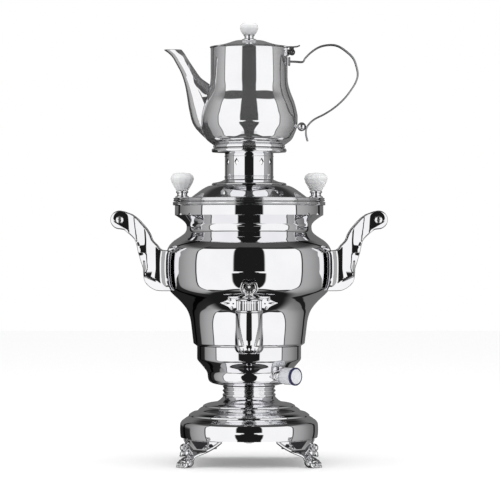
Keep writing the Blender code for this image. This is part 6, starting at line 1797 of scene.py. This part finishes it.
@dataclass
class Teapot:
    """The teapot: its body, faceted spout, strap handle and hinge bracket."""

    base: Pair = (39.6 * MM, 346.1 * MM)
    foot_top: float = 349.3 * MM
    bulb: Pair = (53.5 * MM, 377.8 * MM)
    neck: Pair = (42.4 * MM, 423.8 * MM)
    top: float = 456.1 * MM
    wall: float = 1.1 * MM
    spout_reach: float = 93.8 * MM
    spout_rise: float = 105.0 * MM
    spout_width: float = 16.0 * MM
    strap_start: Pair = (43.6 * MM, 441.7 * MM)
    strap_reach: float = 77.3 * MM
    strap_rise: float = 87.0 * MM
    strap_width: float = 11.0 * MM
    strap_thickness: float = 1.8 * MM

    def outline(self) -> list[Pair]:
        """The outer side, from the foot up."""
        foot = [(self.base[0] - 1.2 * MM, self.base[1]), (self.base[0], self.base[1] + 0.9 * MM)]
        foot += [(self.base[0], self.foot_top - 0.7 * MM), (self.base[0] - 0.5 * MM, self.foot_top - 0.1 * MM)]
        bulb = curved(between((self.base[0], self.foot_top), self.bulb, (
            (0.0, 0.02), (0.5, 0.21), (0.76, 0.445), (0.957, 0.716), (1.0, 1.0),
        )), 8)
        neck = curved([self.bulb] + between(self.bulb, self.neck, (
            (0.027, 0.128), (0.297, 0.396), (0.7, 0.65), (0.93, 0.84), (1.0, 1.0),
        )), 8)
        top = [(self.neck[0], self.top - 0.8 * MM), (self.neck[0] - 0.3 * MM, self.top)]
        return foot + bulb + neck[1:] + top

    def vessel(self) -> None:
        """The body with a thin wall and the strainer behind the spout."""
        side = self.outline()
        inner = [p for p in inward(side[4:], self.wall) if p[1] < self.top - 0.5 * MM]
        floor = self.foot_top + 0.9 * MM
        inner = [p for p in inner if p[1] > floor + 0.4 * MM]
        inside = [(self.neck[0] - self.wall, self.top)] + list(reversed(inner))
        inside += [(self.base[0] - 2.4 * MM, floor), (0.0, floor)]
        sole = [(0.0, self.base[1] + 1.2 * MM), (self.base[0] - 3.6 * MM, self.base[1] + 1.2 * MM),
                (self.base[0] - 2.8 * MM, self.base[1])]
        pot = spun("pot", side + inside + sole, FINE)
        for across in (-5.5, 0.0, 5.5):
            for rise in (374.5, 380.0, 385.5):
                start = (-self.bulb[0] - 6 * MM, across * MM, rise * MM)
                combined(pot, cylinder("strain", 1.6 * MM, start, (-40 * MM, across * MM, rise * MM), 20))
        finished(pot, Body.POT, Slot.CHROME, ["teapot_body"], finish=HAZED)

    def ring_at(self, section: tuple[Pair, Pair, float], wall: float) -> list[Triple]:
        """One faceted section of the spout, ridged above and below.

        Args:
            section: Its lower and upper points as shares, and its width as a share.
            wall: How far it is drawn in for the bore.

        Returns:
            Sixteen points, from its lower ridge round.
        """
        (u0, v0), (u1, v1), wide = section
        low = Vector((-self.spout_reach * u0, 0, self.foot_top + self.spout_rise * v0))
        high = Vector((-self.spout_reach * u1, 0, self.foot_top + self.spout_rise * v1))
        middle = (low + high) / 2
        up = (high - low) / 2
        half = max(up.length - wall, 0.2 * MM)
        side = self.spout_width * wide - wall
        up.normalize()
        points = []
        for share_up, share_side in (
            (-1.0, 0.0), (-0.93, 0.26), (-0.72, 0.62), (-0.4, 0.88), (0.0, 1.0), (0.36, 0.86), (0.68, 0.56),
            (0.9, 0.24), (1.0, 0.0),
        ):
            points.append((share_up, share_side))
        points += [(u, -s) for u, s in reversed(points[1:-1])]
        return [tuple(middle + up * half * u + Vector((0, side * s, 0))) for u, s in points]

    def spout(self) -> None:
        """The spout from the bulb to its slanted mouth."""
        sections = [
            ((0.5, 0.06), (0.24, 0.34), 1.0), ((0.649, 0.206), (0.3, 0.46), 1.0), ((0.704, 0.373), (0.384, 0.571), 0.86),
            ((0.73, 0.518), (0.469, 0.644), 0.7), ((0.757, 0.644), (0.567, 0.71), 0.56),
            ((0.797, 0.753), (0.649, 0.812), 0.47), ((0.848, 0.842), (0.715, 0.9), 0.43),
            ((0.913, 0.937), (0.752, 0.955), 0.42), ((1.0, 1.0), (0.789, 1.0), 0.42),
        ]
        flat = [(a[0], a[1], b[0], b[1], w) for a, b, w in sections]
        dense = [((p[0], p[1]), (p[2], p[3]), p[4]) for p in curved(flat, 5)]
        outer = [self.ring_at(section, 0.0) for section in dense]
        inner = [self.ring_at(section, 1.0 * MM) for section in dense]
        lip = [tuple(Vector(a) * 0.5 + Vector(b) * 0.5 + Vector((0, 0, 0.45 * MM))) for a, b in zip(outer[-1], inner[-1])]
        rings = outer + [lip] + list(reversed(inner)) + [outer[0]]
        spout = lofted("spout", rings, capped=False)
        side = self.outline()
        core = [(0.0, side[0][1] - 5 * MM)] + [(r + GAP, z) for r, z in side] + [(0.0, self.top + 9 * MM)]
        core.insert(-1, (side[-1][0] + GAP, self.top + 9 * MM))
        core.insert(1, (side[0][0] + GAP, side[0][1] - 5 * MM))
        combined(spout, spun("core", core, FINE))
        finished(spout, Body.POT, Slot.CHROME, ["teapot_spout"], math.radians(22), HAZED)

    def strap(self) -> None:
        """The strap handle with rounded edges and a pad where it meets the neck."""
        shares = (
            (0.0, 0.0), (0.1, -0.004), (0.2, -0.006), (0.234, 0.039), (0.33, 0.122), (0.448, 0.185), (0.589, 0.208),
            (0.706, 0.191), (0.825, 0.122), (0.919, 0.039), (0.966, -0.067), (0.984, -0.171), (0.955, -0.266),
            (0.883, -0.371), (0.789, -0.476), (0.66, -0.58), (0.517, -0.664), (0.376, -0.728), (0.294, -0.79),
            (0.252, -0.853), (0.247, -0.926), (0.27, -1.01),
        )
        line = [Vector((x, 0, z)) for x, z in curved([
            (self.strap_start[0] + self.strap_reach * u, self.strap_start[1] + self.strap_rise * v) for u, v in shares
        ], 5)]
        rings = []
        last = len(line) - 1
        for i, point in enumerate(line):
            along = (line[min(i + 1, last)] - line[max(i - 1, 0)]).normalized()
            out = Vector((along.z, 0, -along.x))
            rings.append([
                tuple(point + out * a * self.strap_thickness / 2 + Vector((0, b * self.strap_width / 2, 0)))
                for a, b in (
                    (-1, -0.8), (-1, 0), (-1, 0.8), (-0.7, 0.93), (0, 1), (0.7, 0.93), (1, 0.8), (1.15, 0),
                    (1, -0.8), (0.7, -0.93), (0, -1), (-0.7, -0.93),
                )
            ])
        strap = lofted("strap", rings)
        foot = block("foot", (2.4 * MM, 15 * MM, 9 * MM), (self.strap_start[0] + 0.6 * MM, 0, self.strap_start[1]))
        combined(strap, softened(foot, 0.8 * MM, 3), "UNION")
        side = self.outline()
        core = [(0.0, side[0][1])] + [(r + GAP, z) for r, z in side] + [(0.0, self.top)]
        combined(strap, spun("core", core, FINE))
        finished(strap, Body.POT, Slot.CHROME, ["teapot_handle"], finish=FINISHES[Slot.STEEL])

    def ball(self) -> None:
        """The ball between the pot and the lower end of the strap."""
        height = 369.8 * MM
        inside = radius_at(self.outline()[4:], height) + GAP
        outside = self.strap_start[0] + self.strap_reach * 0.262 - self.strap_thickness / 2 - GAP
        reach = (outside - inside) / 2
        ball = globe("ball", reach + 0.2 * MM, ((outside + inside) / 2, 0, height), (1.0, 1.15, 1.0), 28)
        side = self.outline()
        core = [(0.0, side[0][1])] + [(r + GAP, z) for r, z in side] + [(0.0, self.top)]
        combined(ball, spun("core", core, FINE))
        finished(ball, Body.POT, Slot.CHROME, ["handle_ball"])

    def bracket(self) -> None:
        """The two rounded ears that hold the lid's hinge pin."""
        reach, height, size = 47.5 * MM, 451.8 * MM, 3.2 * MM
        near, ear = 3.0 * MM, 2.4 * MM
        parts = [block("back", (4.0 * MM, 2 * (near + ear), 2 * size), (41.9 * MM, 0, height - GAP))]
        for side in (-1, 1):
            middle = side * (near + ear / 2)
            parts.append(cylinder("ear", size, (reach, middle - ear / 2, height), (reach, middle + ear / 2, height), 32))
            parts.append(block("arm", (7.0 * MM, ear, 5.2 * MM), (reach - 3.5 * MM, middle, height)))
        bracket = parts[0]
        for part in parts[1:]:
            combined(bracket, part, "UNION")
        side = self.outline()
        core = [(0.0, side[0][1])] + [(r + GAP, z) for r, z in side] + [(0.0, self.top)]
        combined(bracket, spun("core", core, FINE))
        combined(bracket, cylinder("pin", 1.5 * MM, (reach, -0.02, height), (reach, 0.02, height), 20))
        softened(bracket, 0.35 * MM, 2, 50)
        finished(bracket, Body.POT, Slot.CHROME, ["hinge_bracket"], finish=SATIN)

    def build(self) -> None:
        """Builds the teapot."""
        self.vessel()
        self.spout()
        self.strap()
        self.ball()
        self.bracket()


@dataclass
class PotLid:
    """The teapot's hinged lid with its thumb tab and clear grip."""

    seat: float = 456.4 * MM
    rim: float = 43.4 * MM
    band: float = 1.5 * MM
    top: float = 464.9 * MM
    wall: float = 1.1 * MM
    spigot: float = 40.7 * MM
    hinge: Pair = (47.5 * MM, 451.8 * MM)

    def cover(self) -> None:
        """The lid with its beaded rim, knuckle and thumb tab."""
        low, high = self.seat, self.seat + self.band
        cone = curved(between((self.rim - 0.5 * MM, high), (6.0 * MM, self.top), (
            (0.0, 0.0), (0.3, 0.25), (0.52, 0.56), (0.76, 0.95), (1.0, 1.0),
        )), 7)
        inner = [p for p in inward(cone, self.wall) if p[0] < self.spigot - 2.4 * MM]
        tip = self.spigot - 1.2 * MM
        outer = [(self.rim - 0.7 * MM, low), (self.rim, low + 0.7 * MM)] + cone + [(0.0, self.top)]
        under = [(0.0, self.top - self.wall)] + list(reversed(inner)) + [
            (tip - 0.7 * MM, low), (tip - 0.7 * MM, low - 4.5 * MM), (tip, low - 4.5 * MM), (self.spigot, low),
        ]
        lid = spun("pot_cover", outer + under, FINE)
        x, z = self.hinge
        tab = [(40.4, 457.1), (44.3, 457.1), (44.3, 451.8), (49.4, 451.8), (49.4, 457.0), (52.8, 457.3), (56.0, 458.6),
               (56.2, 459.9), (52.6, 458.7), (49.4, 458.35), (40.4, 458.35)]
        leaf = cut_sheet("leaf", [(a * MM, b * MM) for a, b in tab], 5.4 * MM)
        combined(leaf, cylinder("knuckle", 3.2 * MM, (x, -2.7 * MM, z), (x, 2.7 * MM, z), 32), "UNION")
        softened(leaf, 0.3 * MM, 2, 50)
        combined(lid, leaf, "UNION")
        combined(lid, cylinder("pin", 1.5 * MM, (x, -0.02, z), (x, 0.02, z), 20))
        finished(lid, Body.POT_LID, Slot.CHROME, ["teapot_lid"], finish=HAZED)

    def grip(self) -> None:
        """The clear grip and the ferrule under it."""
        low, size, height = 471.3 * MM, 10.45 * MM, 13.2 * MM
        outer = between((0.0, low), (size, low + height), (
            (0.62, 0.0), (0.7, 0.05), (0.86, 0.24), (1.0, 0.53), (0.96, 0.76), (0.72, 0.95), (0.0, 1.0),
        ))
        clear = spun("grip", [(0.0, low)] + outer, 12)
        placed(clear, Matrix.Rotation(math.pi / 12, 4, "Z"))
        softened(clear, 0.3 * MM, 2, 12)
        bore = spun("bore", [
            (0.0, low - MM), (1.8 * MM, low - MM), (1.8 * MM, low + 6.0 * MM), (1.2 * MM, low + 7.0 * MM),
            (0.0, low + 7.4 * MM),
        ], 24)
        combined(clear, bore)
        finished(clear, Body.POT_LID, Slot.ACRYLIC, ["teapot_grip"], math.radians(8))
        foot = 465.2 * MM
        outline = eased([(r * MM, foot + h * MM) for r, h in (
            (7.7, 0.0), (7.7, 0.95), (6.6, 1.2), (5.5, 1.6), (5.0, 2.0), (5.0, 3.9), (5.9, 4.6), (6.2, 5.0),
            (6.0, 5.8), (1.6, 5.8),
        )], 0.3 * MM)
        ferrule = spun("ferrule", [(0.0, foot)] + outline + [
            (1.6 * MM, foot + 11.0 * MM), (1.0 * MM, foot + 12.0 * MM), (0.0, foot + 12.0 * MM),
        ], SMALL)
        finished(ferrule, Body.POT_LID, Slot.CHROME, ["teapot_grip_ferrule"])

    def build(self) -> None:
        """Builds the lid and its grip."""
        self.cover()
        self.grip()


# Carried-over CAD nodes

KEPT = {
    "base_plate": Slot.STEEL, "heating_element": Slot.STEEL, "thermostat_case": Slot.BLACK, "tie_stud": Slot.STEEL,
    "tie_washer": Slot.STEEL, "tie_nut": Slot.STEEL, "tap_nut": Slot.STEEL, "tap_seal": Slot.SILICONE,
    "tap_shank": Slot.CHROME, "hinge_pin": Slot.STEEL,
}


def dress_kept() -> None:
    """Gives each CAD node that stays its own procedural material."""
    for name, finish in KEPT.items():
        obj = bpy.data.objects[name]
        obj.data.materials.clear()
        obj.data.materials.append(FINISHES[finish].material())
        LOG.info("%s: kept from the CAD as %s", name, finish.value)


# Studio

@dataclass
class Studio:
    """The white room: dark strip behind the camera, softboxes at its sides, floor and camera."""

    camera_reach: float = 2.847
    camera_height: float = 0.248
    aim: Triple = (0.001, 0.0, 0.234)
    lens: float = 186.0
    waist_strip: float = 8.0
    base_strip: float = 13.0
    strip: float = 21.0
    box_outer: float = 77.0
    box_rise: float = 50.0

    def band(self, wires: Wiring, value: object, low: float, high: float, soft: float) -> bpy.types.NodeSocket:
        """One between two values, with soft ends."""
        rise = wires.step(value, low - soft, low + soft)
        return wires.sum("MULTIPLY", rise, wires.step(value, high + soft, high - soft))

    def reflected(self, wires: Wiring) -> bpy.types.NodeSocket:
        """What polished metal sees, by the direction it looks in.

        Args:
            wires: The world's tree.

        Returns:
            A brightness.
        """
        ray = wires.add("ShaderNodeTexCoord").outputs["Object"]
        parts = wires.add("ShaderNodeSeparateXYZ")
        wires.join(ray, parts.inputs[0])
        x, y, z = parts.outputs
        sideways = wires.sum("ARCTAN2", wires.sum("ABSOLUTE", x), wires.sum("MULTIPLY", y, -1.0))
        around = wires.sum("DEGREES", sideways)
        rise = wires.sum("DEGREES", wires.sum("ARCSINE", z))
        height = wires.sum("ABSOLUTE", rise)
        left = wires.step(x, 0.02, -0.02)
        skirt = wires.blend(wires.step(rise, -4.1, -3.5), self.base_strip, self.waist_strip)
        under = wires.blend(wires.step(rise, -60.0, -5.0), 12.0, 23.0)
        lower = wires.blend(wires.step(rise, -5.6, -4.9), under, skirt)
        narrow = wires.blend(wires.step(rise, -2.5, -1.9), lower, self.strip)
        black = wires.step(wires.sum("SUBTRACT", around, narrow), 0.9, -0.9)
        corner = wires.sum("MULTIPLY", self.band(wires, around, 36.0, 62.0, 14.0), 7.0)
        below = wires.sum("ADD", corner, self.box_rise - 6.0)
        above = wires.blend(wires.step(around, 10.0, 90.0), self.box_rise - 7.2, self.box_rise - 15.2)
        upward = wires.step(rise, -1.0, 1.0)
        over = wires.sum("SUBTRACT", height, wires.blend(upward, below, above))
        past = wires.sum("SUBTRACT", around, narrow)
        box = wires.sum("MULTIPLY", wires.step(past, 0.3, 1.7), wires.step(around, self.box_outer + 0.7, self.box_outer - 0.7))
        box = wires.sum("MULTIPLY", box, wires.step(over, 1.0, -1.0))
        wall = wires.blend(wires.step(around, 79.0, 140.0), 0.43, 0.16)
        wall = wires.sum("MULTIPLY", wall, wires.blend(self.band(wires, around, 135.0, 143.0, 1.0), 1.0, 0.08))
        wall = wires.sum("MULTIPLY", wall, wires.blend(self.band(wires, around, 77.2, 79.4, 0.5), 1.0, 0.05))
        wall = wires.sum("MULTIPLY", wall, wires.blend(wires.step(rise, 26.0, 42.0), 1.0, 0.2))
        low_left = wires.sum("MULTIPLY", wires.sum("MULTIPLY", left, wires.step(rise, 2.0, -3.0)),
                             wires.step(around, 114.0, 118.0))
        wall = wires.sum("MULTIPLY", wall, wires.blend(low_left, 1.0, 0.1))
        floor = wires.blend(wires.step(y, -0.52, -0.3), 0.2, 0.012)
        room = wires.blend(wires.step(height, 50.0, 62.0), wall, wires.blend(upward, floor, 0.085))
        rim = wires.sum("MULTIPLY", wires.step(over, 0.0, 1.0), wires.step(over, 14.0, 7.0))
        room = wires.blend(wires.sum("MULTIPLY", rim, wires.step(around, 79.0, 75.0)), room, 0.025)
        low = wires.step(rise, 62.0, 52.0)
        room = wires.blend(wires.sum("MULTIPLY", black, low), room, 0.012)
        return wires.blend(box, room, 1.0)

    def world(self) -> None:
        """White for the camera and through clear parts, the studio for reflections."""
        world = bpy.data.worlds.new("studio")
        bpy.context.scene.world = world
        world.use_nodes = True
        wires = Wiring(world.node_tree)
        shader = world.node_tree.nodes["Background"]
        path = wires.add("ShaderNodeLightPath")
        seen = wires.sum("MAXIMUM", path.outputs["Is Camera Ray"], path.outputs["Is Transmission Ray"])
        glossy = wires.blend(path.outputs["Is Glossy Ray"], 1.0, self.reflected(wires))
        level = wires.blend(seen, glossy, 1.0)
        wires.join(level, shader.inputs["Color"])
        shader.inputs["Strength"].default_value = 1.0

    def floor(self) -> None:
        """A white floor that is pure white to the camera outside the shadow."""
        set_down()
        bpy.ops.mesh.primitive_plane_add(size=8.0, location=(0, AXIS_Y, 0))
        floor = bpy.context.object
        floor.name = "studio_floor"
        made = bpy.data.materials.new("studio_floor")
        made.use_nodes = True
        wires = Wiring(made.node_tree)
        shader = made.node_tree.nodes["Principled BSDF"]
        shader.inputs["Base Color"].default_value = (0.88, 0.88, 0.88, 1.0)
        shader.inputs["Roughness"].default_value = 1.0
        shader.inputs["Specular IOR Level"].default_value = 0.0
        path = wires.add("ShaderNodeLightPath")
        glow = wires.sum("MULTIPLY", path.outputs["Is Camera Ray"], 0.17)
        shader.inputs["Emission Color"].default_value = (1.0, 1.0, 1.0, 1.0)
        wires.join(glow, shader.inputs["Emission Strength"])
        polish = wires.add("ShaderNodeBsdfGlossy")
        polish.inputs["Roughness"].default_value = 0.1
        mix = wires.add("ShaderNodeMixShader")
        mix.inputs[0].default_value = 0.1
        wires.join(shader.outputs[0], mix.inputs[1])
        wires.join(polish.outputs[0], mix.inputs[2])
        wires.join(mix.outputs[0], made.node_tree.nodes["Material Output"].inputs["Surface"])
        floor.visible_glossy = False
        floor.data.materials.append(made)
        set_down()
        bpy.ops.object.light_add(type="AREA", location=(0, AXIS_Y - 0.2, 1.9))
        lamp = bpy.context.object
        lamp.name = "studio_lamp"
        lamp.data.shape = "RECTANGLE"
        lamp.data.size, lamp.data.size_y = 1.6, 1.2
        lamp.data.energy = 9.0
        lamp.visible_glossy = False
        lamp.visible_camera = False

    def camera(self) -> None:
        """The camera of the photo: level, far away, at the boiler's height."""
        place = Vector((0.0, AXIS_Y - self.camera_reach, self.camera_height))
        aim = Vector((self.aim[0], AXIS_Y, self.aim[2]))
        set_down()
        bpy.ops.object.camera_add(location=place, rotation=(aim - place).to_track_quat("-Z", "Y").to_euler())
        camera = bpy.context.object
        camera.name = "photo_camera"
        camera.data.lens = self.lens
        camera.data.sensor_width = 36.0
        bpy.context.scene.camera = camera

    def build(self) -> None:
        """Sets up the room, the floor and the camera."""
        self.world()
        self.floor()
        self.camera()
        bpy.context.scene.view_settings.view_transform = "Standard"


def main() -> None:
    """Builds each sub-assembly in turn, then the studio."""
    boiler = Boiler()
    for part in (Base(), Feet(), Heater(), boiler, Handles(boiler), Tap(), Lid(), Crown(), Teapot(), PotLid()):
        LOG.info("Building %s", type(part).__name__)
        part.build()
    dress_kept()
    Studio().build()


if __name__ == "__main__":
    logging.basicConfig(level=logging.INFO, format="%(message)s")
    main()
